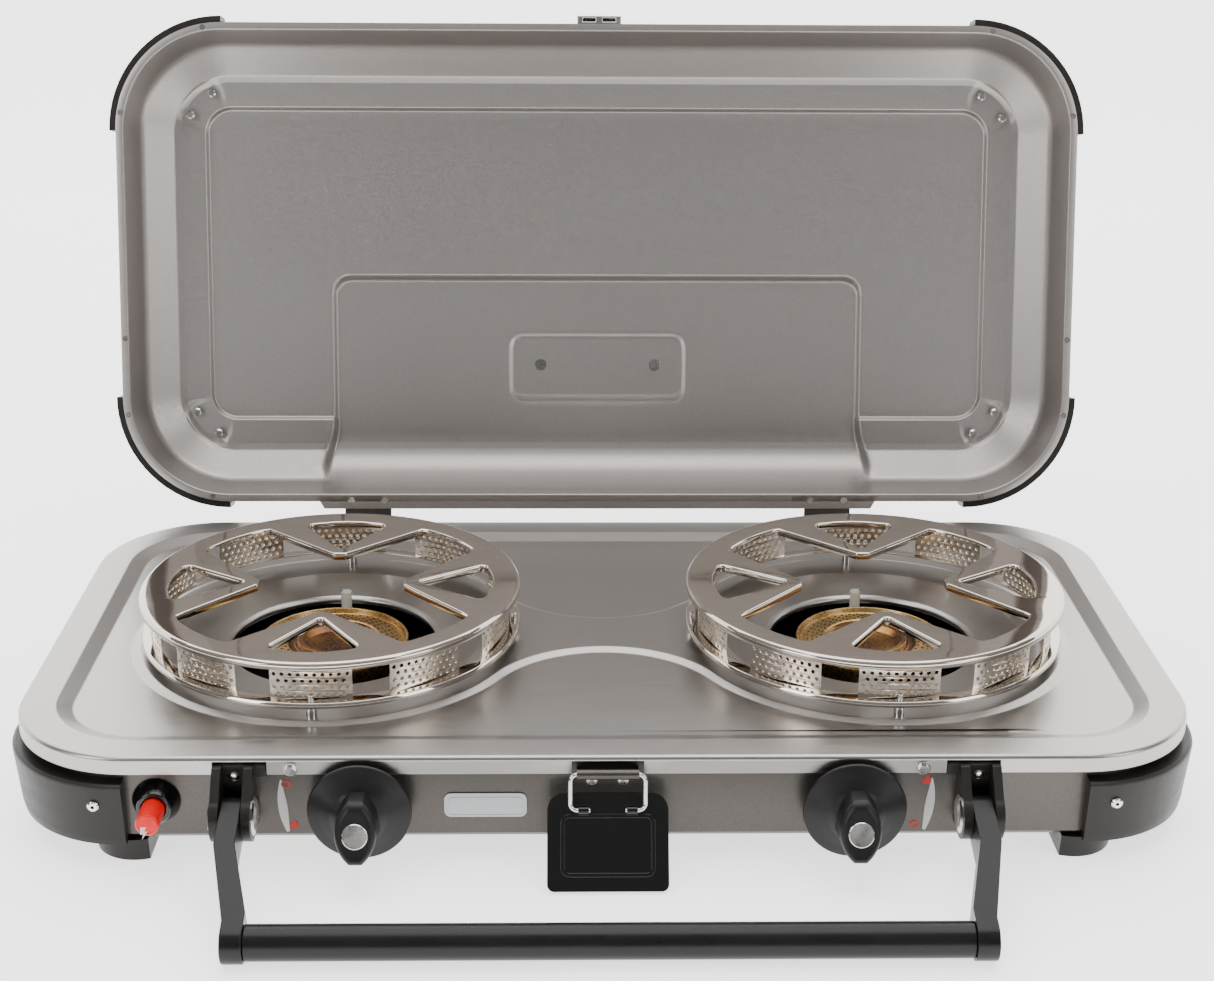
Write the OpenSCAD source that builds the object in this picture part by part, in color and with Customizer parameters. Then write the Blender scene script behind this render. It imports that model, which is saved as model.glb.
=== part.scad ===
// Two-burner folding camping stove, drawn open and ready to use.
// Millimetres. +X is right, +Y is to the back, +Z is up, and z = 0 is the table.
// Inside the modules y = 0 is the front edge of the cooktop; place() moves the
// origin to the middle of the outline.

/* [Overall] */
// Width of the cooktop
top_w = 680; // [560:5:800]
// Depth of the cooktop, front to back
top_d = 350; // [330:5:420]
// Height of the cooktop rim above the table
rim_z = 68; // [66:1:90]
// Corner radius of cooktop and lid
corner_r = 75; // [70:1:85]
// Inside depth of the lid
lid_depth = 43; // [41:1:60]
// How far the lid swings back from shut, degrees
lid_open = 103.8; // [95:0.1:110]

/* [Burners] */
// Distance of each burner from the centre line
burner_x = 169; // [150:1:200]
// Distance of the burners from the front edge
burner_y = 165; // [150:1:180]
// Radius of the burner opening in the cooktop
well_r = 63.5; // [55:0.5:70]
// Radius of the burner head
head_r = 47; // [40:0.5:52]
// Outer radius of the pan grates
grate_r = 117; // [105:1:118]
// Height of the grate tops above the rim
grate_z = 33.5; // [28:0.5:38]

/* [Controls and handle] */
// Distance of each knob from the centre line
knob_x = 137; // [130:1:160]
// Radius of the knob skirts
knob_r = 29; // [22:0.5:32]
// Radius of the igniter button
button_r = 6.5; // [4:0.5:8]
// Distance of each handle bracket from the centre line
handle_x = 206; // [195:1:225]
// Radius of the handle bar
bar_r = 9.6; // [8:0.1:12]
// Reach of the handle, pivot to bar
handle_reach = 87; // [80:1:100]
// Width of the latch plate
latch_w = 67; // [55:1:75]

/* [Hidden] */
$fn = 96;
sheet = 1;
// cooktop stamping, heights from the rim
skirt_h = 10.5;
band_w = 20;
recess_w = 31.5;
recess_z = -4;
plateau_z = -0.5;
plateau_r = 119;
dish_r = 94;
dish_z = -5.6;
// case
inset = 6;
foot_h = 14;
case_w = top_w - 2 * inset;
case_d = top_d - 2 * inset;
case_r = corner_r - inset;
case_top = rim_z - sheet;
front = inset;
back = top_d - inset;
mid_y = top_d / 2;
knob_z = rim_z - 30.5;
igniter_x = -250.5;
igniter_z = rim_z - 29.5;
face_tilt = 18;
face_z = 26.6;
inlet_y = 110;
guard_face = -1.7;
rivet_x = top_w / 2 - corner_r + 19;
rim_screw_x = [174.5, 110];
// circles that pinch the raised area between the burners
waist_r = 76;
waist_y = sqrt(pow(plateau_r + waist_r - 1, 2) - pow(burner_x, 2));
// grates
stud_r = 113.2;
stud_top = 4.4;
ring_z = 4.7;
screen_r = 110.8;
screen_a = 12.3;
ring_in = 108;
finger_tip = 45;
finger_in = 86.5;
finger_w = 50.4;
grate_open = 101.5;
// lid: hinge axis, and the lid's own frame with the rim plane at z = 0
hinge_y = top_d + 6;
hinge_z = rim_z - 3.2;
hinge_x = 166;
knuckle_r = 4;
pin_r = 2;
lid_gap = 0.8;
lid_front = 3.5;
lid_back = top_d - 8.6;
lid_d = lid_back - lid_front;
lid_mid = (lid_back + lid_front) / 2;
lid_base = rim_z + lid_gap;
flange_d = 5.3;
flange_w = 394;
panel_in = 60;
pocket_w = 382;
pocket_d = 160;
pocket_out = 4;
kd = lid_depth / 43;
// handle
pivot_y = -9;
pivot_z = rim_z - 31;
end_r = bar_r + 1.4;
bar_z = end_r;
handle_dip = asin((pivot_z - bar_z) / handle_reach);
bar_y = pivot_y - handle_reach * cos(handle_dip);
arm_t = 11.6;
cheek_t = 5;
clevis_w = arm_t + 0.8 + 2 * cheek_t;
bar_x = 188.5;
lean_from = 28.5;
// latch
bail_y = -4.5;
bail_z = rim_z - 8.5;
hook_y = -9.5;
hook_z = rim_z - 28;
wire_r = 1.3;
bail_w = 41.4;
bail_len = norm([hook_y - bail_y, bail_z - hook_z]);
bail_lean = atan2(bail_y - hook_y, bail_z - hook_z);
plate_up = 10;
plate_down = 44;
plate_t = 5;
plate_lean = atan(plate_t / plate_down)
  + acos(min(1, (hook_z - 0.3) / norm([plate_down, plate_t])));
// middle of the outline, front to back
outline_front = bar_y - end_r;
outline_back = hinge_y + (lid_front + corner_r - 35 - hinge_y) * cos(lid_open)
  + (lid_base + 41.2 * kd - hinge_z) * sin(lid_open);
y_mid = (outline_front + outline_back) / 2;

steel = [0.62, 0.60, 0.58];
dark = [0.31, 0.30, 0.28];
polished = [0.78, 0.75, 0.71];
black = [0.07, 0.07, 0.07];
brass = [0.72, 0.55, 0.28];

module place() translate([0, -y_mid, 0]) children();
module pair() { children(); mirror([1, 0, 0]) children(); }
module at_burner(s) translate([s * burner_x, burner_y, rim_z]) children();
// front panel frame: local z points out to the front, local y points up
module on_front(x, y, z) translate([x, y, z]) rotate([90, 0, 0]) children();
module along_x(x0, x1) translate([x0, 0, 0]) rotate([90, 0, 90]) linear_extrude(x1 - x0) children();

module rrect(w, d, r) {
  square([w - 2 * r, d], center = true);
  square([w, d - 2 * r], center = true);
  for (x = [-1, 1], y = [-1, 1]) translate([x * (w / 2 - r), y * (d / 2 - r)]) circle(r);
}
// carries a profile of [inset, height] points round a rounded rectangle
module sweep(w, d, r, pts) {
  shape = [for (p = pts) [r - p[0], p[1]]];
  for (a = [0 : 3]) {
    u = a % 2 == 0 ? w : d;
    v = a % 2 == 0 ? d : w;
    rotate(a * 90) translate([u / 2 - r, v / 2 - r, 0]) {
      rotate_extrude(angle = 90) polygon(shape);
      rotate([90, 0, 0]) linear_extrude(v - 2 * r) polygon(shape);
    }
  }
}
module rivet(r, h, hole = 0.8) rotate_extrude()
  polygon([[hole, 0], [r, 0], [r, h * 0.4], [r * 0.75, h], [hole + 0.5, h], [hole, h * 0.6]]);

// ---- case and cooktop ----
module base_case() color(dark) difference() {
  translate([0, mid_y, 0]) {
    sweep(case_w, case_d, case_r, [[0, case_top], [0, foot_h + 3], [3, foot_h], [5, foot_h],
      [5, foot_h + 1], [3.4, foot_h + 1], [1, foot_h + 3.4], [1, case_top]]);
    translate([0, 0, foot_h]) linear_extrude(sheet) rrect(case_w - 10, case_d - 10, case_r - 5);
  }
  for (s = [-1, 1]) {
    on_front(s * knob_x, front + 3, knob_z) cylinder(r = 6.5, h = 6);
    translate([s * burner_x, burner_y, foot_h - 1]) for (a = [15 : 30 : 345])
      rotate(a) translate([62, 0, 0]) cylinder(r = 4, h = 4);
    for (t = [0, 1]) translate([s * rim_screw_x[t], t == 0 ? front : back, rim_z - 7]) rotate([90, 0, 0])
      cylinder(r = 1.8, h = 6, center = true);
    for (y = [front, back]) translate([s * rivet_x, y, rim_z - 29]) rotate([90, 0, 0])
      cylinder(r = 2, h = 6, center = true);
    on_front(s * handle_x, front + 3, rim_z - 12) cylinder(r = 2, h = 6);
    on_front(s * 8.7, front + 3, rim_z - 17) cylinder(r = 1.8, h = 6);
    for (x = [-12, 12]) translate([s * hinge_x + x, back, rim_z - 36]) rotate([90, 0, 0])
      cylinder(r = 1.8, h = 6, center = true);
  }
  on_front(igniter_x, front + 3, igniter_z) cylinder(r = 8.7, h = 6);
  translate([case_w / 2 - 3, inlet_y, knob_z]) rotate([0, 90, 0]) cylinder(r = 9, h = 6);
}

module cooktop() color(steel) {
  difference() {
    union() {
      translate([0, mid_y, rim_z]) {
        sweep(top_w, top_d, corner_r, [[0, -skirt_h], [0, -2], [0.6, -0.6], [2, 0], [band_w, 0],
          [22, -0.4], [29.5, -3.6], [recess_w, recess_z], [recess_w, recess_z - sheet],
          [29.2, -4.6], [21.6, -1.4], [band_w, -sheet], [2.3, -sheet], [1.2, -2.2], [1, -skirt_h]]);
        translate([0, 0, recess_z - sheet]) linear_extrude(sheet)
          rrect(top_w - 2 * recess_w, top_d - 2 * recess_w, corner_r - recess_w);
      }
      for (s = [-1, 1]) at_burner(s) translate([0, 0, recess_z - 0.5])
        cylinder(r1 = plateau_r + 3, r2 = plateau_r, h = plateau_z - recess_z + 0.5);
      translate([0, burner_y, rim_z]) waist(recess_z - 0.5, plateau_z, 3, 0);
    }
    for (s = [-1, 1]) at_burner(s) {
      translate([0, 0, -8]) cylinder(r = dish_r + 1, h = 12);
      translate([0, 0, recess_z - 2]) cylinder(r1 = plateau_r + 0.6, r2 = plateau_r - 2,
          h = 1 - recess_z + plateau_z);
    }
    translate([0, burner_y, rim_z]) waist(recess_z - 2, plateau_z - sheet, 1, 2.6);
    for (s = [-1, 1]) {
      translate([s * (handle_x - 3.5) - 15, -1, rim_z - skirt_h - 1]) cube([30, 2.6, skirt_h - 2]);
      for (t = [0, 1]) translate([s * rim_screw_x[t], t * top_d, rim_z - 7]) rotate([90, 0, 0])
        cylinder(r = 1.8, h = 6, center = true);
    }
    translate([-20, -1, rim_z - skirt_h - 1]) cube([40, 2.6, skirt_h - 2]);
  }
  for (s = [-1, 1]) at_burner(s) rotate_extrude() polygon([[well_r, dish_z - 4.4], [well_r, dish_z],
    [dish_r, plateau_z], [dish_r + 3, plateau_z], [dish_r + 3, plateau_z - sheet], [dish_r,
        plateau_z - sheet],
    [well_r + 1.2, dish_z - sheet], [well_r + 1.2, dish_z - 4.4]]);
}
// the raised waist between the burners, from height z0 to z1, with sloping sides
module waist(z0, z1, flare, wall) difference() {
  w = 2 * burner_x - 200;
  translate([-w / 2, -waist_y, z0]) cube([w, 2 * waist_y, z1 - z0]);
  for (s = [-1, 1]) translate([0, s * waist_y, z0 - 0.5])
    cylinder(r1 = waist_r + wall - flare, r2 = waist_r + wall, h = z1 - z0 + 0.5);
}
module rim_screws() color(polished) for (s = [-1, 1], t = [0, 1])
  translate([s * rim_screw_x[t], t * top_d, rim_z - 7]) rotate([90 - 180 * t, 0, 0]) {
    cylinder(r = 4, h = 1);
    cylinder(r = 2.9, h = 3, $fn = 6);
    translate([0, 0, -7.5]) cylinder(r = 1.8, h = 7.6);
  }

// corner guard with its foot, drawn for the right front corner
module guard() color(black) {
  cx = top_w / 2 - corner_r;
  difference() {
    intersection() {
      translate([0, mid_y, 0]) sweep(top_w + 8, top_d + 6, corner_r - 1, [[3.6, foot_h - 1],
        [2.6, foot_h + 4], [0, rim_z - 18.5], [0.6, rim_z - 17], [2.2, rim_z - 16], [34, rim_z - 16],
        [34, foot_h - 1]]);
      translate([top_w / 2 - 72, -10, 0]) cube([90, 92, rim_z]);
    }
    translate([0, mid_y, foot_h]) linear_extrude(rim_z) rrect(case_w, case_d, case_r);
    translate([cx - 14, 70, foot_h - 3]) cylinder(r = 58, h = 3.01);
    on_front(rivet_x, 8, rim_z - 29) cylinder(r = 2, h = 14);
  }
  difference() {
    translate([cx + 1, 31, 0]) cylinder(r1 = 25, r2 = 27, h = foot_h);
    translate([cx - 35, -10, -1]) cube([27, 90, foot_h + 2]);
    translate([cx - 65, 45, -1]) cube([120, 40, foot_h + 2]);
  }
}
module guard_front_right() guard();
module guard_front_left() mirror([1, 0, 0]) guard();
module guard_back_right() translate([0, top_d, 0]) mirror([0, 1, 0]) guard();
module guard_back_left() mirror([1, 0, 0]) guard_back_right();
module tube_rivet(r, deep) difference() {
  union() { rivet(r, 1.4, 0.1); translate([0, 0, -deep]) cylinder(r = r - 1.2, h = deep + 0.6); }
  translate([0, 0, -deep + 1]) cylinder(r = 1, h = deep + 4);
}
module tube_rivets() color(polished) {
  pair() for (t = [0, 1]) translate([rivet_x, t == 0 ? guard_face : top_d - guard_face, rim_z - 29])
    rotate([90 - 180 * t, 0, 0]) tube_rivet(3.2, 9);
  for (s = [-1, 1]) {
    on_front(s * 8.7, front - 1.2, rim_z - 17) tube_rivet(3, 3.4);
    for (k = [-12, 12]) translate([s * hinge_x + k, back + 1.4, rim_z - 36]) rotate([-90, 0, 0])
      tube_rivet(3, 3.4);
  }
}

// ---- burners ----
module burner_body(s) color([0.55, 0.54, 0.52]) {
  dx = burner_x - knob_x;
  dy = burner_y - 56;
  difference() {
    union() {
      at_burner(s) rotate_extrude() polygon([[0, -38], [26, -38], [40, -24], [45, -12], [45, -9.6], [0,
          -9.6]]);
      translate([s * knob_x, 56, knob_z]) rotate([-90, 0, -s * atan(dx / dy)]) {
        cylinder(r = 9, h = norm([dx, dy]) - 22);
        cylinder(r1 = 11, r2 = 9, h = 10);
      }
    }
    at_burner(s) rotate_extrude() polygon([[0, -35.5], [25, -35.5], [38, -23], [42.5, -12], [42.5, -8],
        [0, -8]]);
    translate([s * knob_x, 56, knob_z]) rotate([-90, 0, -s * atan(dx / dy)])
      translate([0, 0, -1]) cylinder(r = 7, h = norm([dx, dy]) - 24);
  }
}
module burner_left_body() burner_body(-1);
module burner_right_body() burner_body(1);
module burner_head(s) color(brass) at_burner(s) difference() {
  rotate_extrude() polygon([[0, -9.6], [head_r - 1, -9.6], [head_r, -8.6], [head_r, -5.6], [head_r - 0.8,
      -5],
    [head_r - 3.5, -5], [head_r - 4.5, -6.4], [30, -7.4], [28, -6.2], [17, -6.4], [15, -4.4], [12.5, -4.4],
    [10, -6.6], [0, -6.9]]);
  for (k = [0 : 1], a = [0 : 12 : 348]) rotate(a + 6 * k)
    translate([34 + 4 * k, 0, -12]) cylinder(r = 1.1, h = 9, $fn = 16);
}
module burner_left_head() burner_head(-1);
module burner_right_head() burner_head(1);
module burner_brackets() color(steel) for (s = [-1, 1]) translate([s * burner_x, burner_y,
    foot_h + sheet]) {
  translate([-12, -26, 0]) cube([24, 52, 1.5]);
  translate([-8, 20, 0]) cube([16, 29.5, 1.5]);
  translate([-8, 48, 0]) cube([16, 1.5, 33]);
  difference() {
    translate([-8, 48, 31.5]) cube([16, 14, 1.5]);
    translate([-s * 2, 56, 30]) cylinder(r = 3.45, h = 5);
  }
  difference() {
    cylinder(r = 18, h = rim_z - 38 - foot_h - sheet);
    translate([0, 0, 1.5]) cylinder(r = 16.5, h = 40);
    for (a = [0, 90]) rotate(a) translate([-8, -30, 3]) cube([16, 60, 8]);
  }
}
module electrode_insulators() color([0.9, 0.89, 0.86]) for (s = [-1, 1])
  translate([s * (burner_x - 2), burner_y + 56, rim_z]) difference() {
    union() {
      translate([0, 0, -34]) cylinder(r = 3.4, h = 36);
      translate([0, 0, -20]) cylinder(r = 4.6, h = 5);
    }
    translate([s * 2.6, 0, -40]) cylinder(r = 0.9, h = 60);
  }
module electrode_pins() color(polished) for (s = [-1, 1])
  translate([s * (burner_x + 0.6), burner_y + 56, rim_z]) {
    translate([0, 0, -36]) cylinder(r = 0.9, h = 41);
    translate([0, 0.3, 4.4]) rotate([70, 0, 0]) cylinder(r = 0.9, h = 7);
  }
// a run of straight tubes, each a little longer than its leg so that they join
module wire(pts, r) for (i = [0 : len(pts) - 2]) {
  d = pts[i + 1] - pts[i];
  translate(pts[i]) rotate([0, acos(d[2] / norm(d)), atan2(d[1], d[0])])
    translate([0, 0, -r * 0.7]) cylinder(r = r, h = norm(d) + r * 1.4, $fn = 24);
}
module ignition_leads() color(black) {
  wire([[igniter_x + 3, 43, igniter_z], [igniter_x + 3, 60, igniter_z], [igniter_x + 3, 60, 22],
    [igniter_x + 3, 244, 22], [2 - burner_x, 244, 22], [2 - burner_x, burner_y + 56, 22]], 1.3);
  translate([2 - burner_x, burner_y + 56, 21]) cylinder(r = 1.3, h = rim_z - 34 - 21, $fn = 24);
  wire([[igniter_x - 3, 43, igniter_z], [igniter_x - 3, 66, igniter_z], [igniter_x - 3, 66, 18],
    [igniter_x - 3, 262, 18], [burner_x - 2, 262, 18], [burner_x - 2, burner_y + 56, 18]], 1.3);
  translate([burner_x - 2, burner_y + 56, 17]) cylinder(r = 1.3, h = rim_z - 34 - 17, $fn = 24);
}

// ---- gas train ----
module gas_rail() color(brass) {
  end = case_w / 2 - 24;
  translate([-knob_x + 11, 31, knob_z]) rotate([0, 90, 0]) cylinder(r = 4, h = 2 * knob_x - 22);
  translate([knob_x + 11, 31, knob_z]) rotate([0, 90, 0]) cylinder(r = 4, h = end - 14 - knob_x - 11);
  translate([end - 14, 45, knob_z]) rotate([0, 0, -90]) rotate_extrude(angle = 90)
    translate([14, 0]) circle(4);
  translate([end, 45, knob_z]) rotate([-90, 0, 0]) cylinder(r = 4, h = inlet_y - 55);
}
module valve(s) color(brass) difference() {
  union() {
    translate([s * knob_x - 11, 22, knob_z - 10]) cube([22, 18, 20]);
    on_front(s * knob_x, 22, knob_z) cylinder(r = 9, h = 15);
  }
  on_front(s * knob_x, 34, knob_z) cylinder(r = 4.05, h = 32);
}
module valve_left() valve(-1);
module valve_right() valve(1);
module jets() color(brass) for (s = [-1, 1]) translate([s * knob_x, 40, knob_z]) rotate([-90, 0, 0])
    difference() {
  union() { cylinder(r = 5.5, h = 5, $fn = 6); cylinder(r1 = 4, r2 = 2.5, h = 14); }
  translate([0, 0, 1]) cylinder(r = 1, h = 20);
}
module gas_inlet() color(brass) difference() {
  union() {
    translate([case_w / 2 - 34, inlet_y - 10, knob_z - 11]) cube([20, 20, 22]);
    translate([case_w / 2 - 15, inlet_y, knob_z]) rotate([0, 90, 0]) cylinder(r = 9, h = 19);
  }
  translate([case_w / 2 - 12, inlet_y, knob_z]) rotate([0, 90, 0]) cylinder(r = 6, h = 20);
}
module inlet_nut() color(polished) translate([case_w / 2, inlet_y, knob_z]) rotate([0, 90, 0])
    difference() {
  cylinder(r = 13, h = 3, $fn = 6);
  translate([0, 0, -1]) cylinder(r = 9, h = 9);
}

// ---- igniter, knobs ----
module igniter_body() color(black) on_front(igniter_x, 42, igniter_z) difference() {
  cylinder(r = 8.7, h = 42);
  translate([0, 0, 24]) cylinder(r = button_r + 0.4, h = 20);
}
module igniter_bezel() color(black) on_front(igniter_x, front, igniter_z) difference() {
  rotate_extrude() polygon([[8.7, 0], [13.4, 0], [13.4, 1.4], [9.8, 9.6], [8.8, 10.4], [button_r + 0.4,
      10.4],
    [button_r + 0.4, 6], [8.7, 6]]);
}
module igniter_button() color([0.85, 0.05, 0.04]) on_front(igniter_x, front + 4, igniter_z) rotate_extrude()
  polygon([[0, 0], [button_r, 0], [button_r, 31.2], [button_r - 0.8, 32], [button_r - 1.6, 32],
    [button_r - 1.9, 31.7], [0, 31.7]]);
module lens(w, l) {
  b = w / 2;
  h = l / 2;
  r = (h * h + b * b) / (2 * b);
  intersection() { translate([r - b, 0]) circle(r); translate([b - r, 0]) circle(r); square([w, l - 2.4],
      center = true); }
}
module knob(s) color(black) on_front(s * knob_x, -4.5, knob_z) difference() {
  union() {
    rotate_extrude() polygon([[0, 0], [knob_r - 1.5, 0], [knob_r, 0.8], [knob_r, 2.2], [knob_r - 1, 3.2],
      [18, 7], [12, 10.4], [0, 12]]);
    intersection() {
      linear_extrude(40) lens(22, 36);
      rotate([-face_tilt, 0, 0]) translate([0, 0, face_z - 100]) cylinder(r = 60, h = 100);
    }
  }
  translate([0, 0, -1]) cylinder(r = knob_r - 5, h = 2.2);
  translate([0, 0, -1]) cylinder(r = 4, h = 15);
}
module knob_left() knob(-1);
module knob_right() knob(1);
module knob_disc(s) color(polished) on_front(s * knob_x, -4.5, knob_z)
  rotate([-face_tilt, 0, 0]) translate([0, -face_z * tan(face_tilt), face_z]) rotate_extrude()
      polygon([[0, 0], [7, 0], [7, 0.5], [6.6, 0.8], [0, 0.8]]);
module knob_left_disc() knob_disc(-1);
module knob_right_disc() knob_disc(1);
module stem(s) color(brass) on_front(s * knob_x, 33, knob_z) cylinder(r = 4, h = 51);
module stem_left() stem(-1);
module stem_right() stem(1);
module front_plate() color(polished) on_front(-68, front, rim_z - 33) difference() {
  linear_extrude(0.8) rrect(46, 15, 4);
  translate([0, 0, 0.6]) linear_extrude(1) difference() { rrect(43, 12, 3); rrect(41, 10, 2.4); }
}
module scale_marks() color([0.6, 0.6, 0.6]) for (s = [-1, 1]) on_front(s * knob_x, front, knob_z) {
  linear_extrude(0.25) intersection() {
    difference() { circle(44.5); translate([-s * 3, s * 4]) circle(43.2); }
    translate([s * 42, 0]) square([30, 33], center = true);
  }
}

// ---- grates ----
module grate_studs() color(polished) for (s = [-1, 1], a = [0 : 90 : 270]) at_burner(s) rotate(a)
  translate([stud_r, 0, plateau_z]) {
    cylinder(r = 3.4, h = stud_top - plateau_z);
    cylinder(r = 1.7, h = ring_z + 6.5 - plateau_z);
  }
module finger_hole(g = 0) intersection() {
  polygon([[finger_tip + 7 - g * 1.8, 0], [104, 32 + g * 2], [104, -32 - g * 2]]);
  circle(grate_open - 1.5 + g);
  translate([finger_tip + 8.4 - g, -60]) square([80, 120]);
}
module grate_plate(s) color(polished) at_burner(s) {
  difference() {
    union() {
      translate([0, 0, grate_z - 1.2]) linear_extrude(1.2) {
        difference() { circle(grate_r - 2); circle(grate_open); }
        for (a = [0 : 90 : 270]) rotate(a) intersection() {
          polygon([[finger_tip, 4], [finger_in, finger_w], [grate_open, finger_w],
            [grate_open, -finger_w], [finger_in, -finger_w], [finger_tip, -4]]);
          circle(grate_open + 2);
        }
      }
      for (a = [0 : 90 : 270]) rotate(a) translate([0, 0, grate_z - 3]) linear_extrude(2.4) finger_hole(1);
    }
    for (a = [0 : 90 : 270]) rotate(a) translate([0, 0, grate_z - 8]) linear_extrude(12) finger_hole(0);
  }
  rotate_extrude() polygon([[grate_r - 2, grate_z - 1.2], [grate_r - 2, grate_z], [grate_r - 0.6,
      grate_z - 0.6],
    [grate_r, grate_z - 2], [grate_r, grate_z - 4.5], [grate_r - 1.2, grate_z - 4.5], [grate_r - 1.2,
        grate_z - 2.2]]);
}
module grate_left_plate() grate_plate(-1);
module grate_right_plate() grate_plate(1);
module grate_screens(s) color(polished) at_burner(s) difference() {
  for (k = [0 : 9]) rotate(k * 36 - 90 - screen_a) translate([0, 0, ring_z + 4])
    rotate_extrude(angle = 2 * screen_a) translate([screen_r - 0.8, 0]) square([0.8,
        grate_z - 5.2 - ring_z]);
  for (k = [0 : 9], a = [-9, -3, 3, 9], z = [0, 1]) rotate(k * 36 - 90 + a + (z == 0 ? 0 : 1.5))
    translate([screen_r - 4, 0, ring_z + 9 + 9 * z]) rotate([0, 90, 0]) cylinder(r = 1.8, h = 8, $fn = 16);
}
module grate_left_screens() grate_screens(-1);
module grate_right_screens() grate_screens(1);
module grate_ring(s) color(polished) at_burner(s) difference() {
  rotate_extrude() polygon([[ring_in, ring_z + 2.8], [ring_in, ring_z + 4], [grate_r - 2, ring_z + 4],
    [grate_r - 0.6, ring_z + 3.4], [grate_r, ring_z + 2], [grate_r, ring_z], [grate_r - 1.2, ring_z],
    [grate_r - 1.2, ring_z + 1.8], [grate_r - 2.2, ring_z + 2.8]]);
  for (a = [0 : 90 : 270]) rotate(a) translate([stud_r, 0, 0]) cylinder(r = 2.1, h = 20);
}
module grate_left_ring() grate_ring(-1);
module grate_right_ring() grate_ring(1);

// ---- lid, drawn shut and then swung open about the hinge pins ----
module lid_pose() translate([0, hinge_y, hinge_z]) rotate([-lid_open, 0, 0])
  translate([0, -hinge_y, -hinge_z]) children();
module dome(t) {
  g = t * 0.8;
  sweep(top_w, lid_d, corner_r, t == 0
    ? [[0, 0], [0, 0.8], [4.6, 0.8], [5.8, 3], [11.2, 25 * kd], [14, 27.8 * kd], [33, 38.9 * kd], [37,
        40 * kd],
       [55, 41.2 * kd], [57.4, lid_depth + 0.8], [58, lid_depth + 0.8], [58, 0]]
    : [[5.4, -1], [5.4, 0], [6.6, 2.8], [12, 24.6 * kd], [14.6, 27 * kd], [33.3, 38.1 * kd], [37.1,
        39.2 * kd],
       [55.4, 40.4 * kd], [57.8, lid_depth], [58, lid_depth], [58, -1]]);
  translate([0, 0, -t]) linear_extrude(lid_depth + 0.8 - g + t) rrect(top_w - 116, lid_d - 116,
      corner_r - 58);
}
module pocket(g) translate([0, lid_d / 2 - 4.6 - pocket_d / 2, 0]) {
  low = g == 0 ? 0 : -1;
  h = lid_depth + pocket_out + 0.8 - g - low;
  w = pocket_w - 2 * g;
  d = pocket_d - 2 * g;
  translate([0, 0, low]) {
    sweep(w, d, 22 - g, [[0, 0], [0, h - 5], [1.6, h - 1.6], [5, h], [20, h], [20, 0]]);
    linear_extrude(h) rrect(w - 40, d - 40, 2 - g);
  }
}
module lid_shell() color(steel) lid_pose() translate([0, lid_mid, lid_base]) {
  difference() {
    union() {
      dome(0);
      pocket(0);
      for (x = [-1, 1], y = [-1, 1]) ear(x, y, 36.6 * kd, 3);
      translate([0, lid_d / 2, 0]) linear_extrude(0.8)
        polygon([[-flange_w / 2 - 6, -3], [-flange_w / 2, flange_d], [flange_w / 2, flange_d],
            [flange_w / 2 + 6, -3]]);
    }
    difference() {
      union() { dome(1); pocket(0.8); }
      for (x = [-1, 1], y = [-1, 1]) ear(x, y, 36.6 * kd, 3);
    }
    for (s = [-1, 1], k = [-12, 12]) translate([s * hinge_x + k, lid_d / 2 - 0.6, -1]) cylinder(r = 1.5,
        h = 4);
    lip_points() translate([0, 0, -1]) cylinder(r = 1.2, h = 4);
    ear_points(34 * kd) cylinder(r = 1.6, h = 12);
    for (s = [-42, 42]) translate([s, lid_d / 2 - 96, 30]) cylinder(r = 2, h = 30);
  }
}
// stamped seats for the corner screws
module ear(x, y, z, h) translate([x * (top_w / 2 - corner_r), y * (lid_d / 2 - corner_r), z])
  rotate(atan2(y, x)) translate([31, 0, 0]) rotate(0) linear_extrude(h) lens(17, 44);
module ear_points(z) for (x = [-1, 1], y = [-1, 1], k = [-20, 20])
  translate([x * (top_w / 2 - corner_r), y * (lid_d / 2 - corner_r), z])
    rotate(atan2(y, x) + k) translate([32, 0, 0]) children();
module corner_points() for (x = [-1, 1], y = [-1, 1], k = [-35, 35])
  translate([x * (top_w / 2 - corner_r), y * (lid_d / 2 - corner_r), 0])
    rotate(atan2(y, x) + k) translate([corner_r - 2.6, 0, 0]) children();
module lip_points() { corner_points() children(); for (s = [-1, 1]) translate([s * (top_w / 2 - 3), 52]) children(); }
module lid_guards() color(black) lid_pose() translate([0, lid_mid, lid_base]) difference() {
  for (a = [0, 1, 2, 3]) {
    x = a == 0 || a == 3 ? 1 : -1;
    y = a < 2 ? 1 : -1;
    r = corner_r;
    translate([x * (top_w / 2 - r), y * (lid_d / 2 - r), 0]) rotate(a * 90) rotate_extrude(angle = 90)
      polygon([[r + 4.5, 0.8], [r + 4.5, 18], [r + 2, 23], [r - 12, 31 * kd], [35, 41.2 * kd], [24,
          42.2 * kd],
        [24, 40.95 * kd], [38, 40 * kd], [42, 38.9 * kd], [r - 14, 27.8 * kd], [r - 10, 26.4 * kd],
            [r + 0.8, 20],
        [r + 1.5, 3], [r - 4.2, 3], [r - 4.6, 0.8]]);
  }
  corner_points() translate([0, 0, -1]) cylinder(r = 1.2, h = 5);
  ear_points(34 * kd) cylinder(r = 1.6, h = 12);
}
module lid_guard_rivets() color(polished) lid_pose() translate([0, lid_mid, lid_base]) lip_points()
    translate([0, 0, -0.4]) {
  cylinder(r = 2, h = 0.4);
  cylinder(r = 1.2, h = 2.4);
}
module lid_corner_screws() color(polished) lid_pose() translate([0, lid_mid, lid_base]) {
  ear_points(36.6 * kd - 1.4) rotate_extrude($fn = 32) polygon([[0, 0], [2, 0], [3, 0.8], [3, 1.4], [0,
      1.4]]);
  ear_points(36.6 * kd - 0.1) cylinder(r = 1.6, h = 41.4 * kd - 36.6 * kd, $fn = 32);
}
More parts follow.
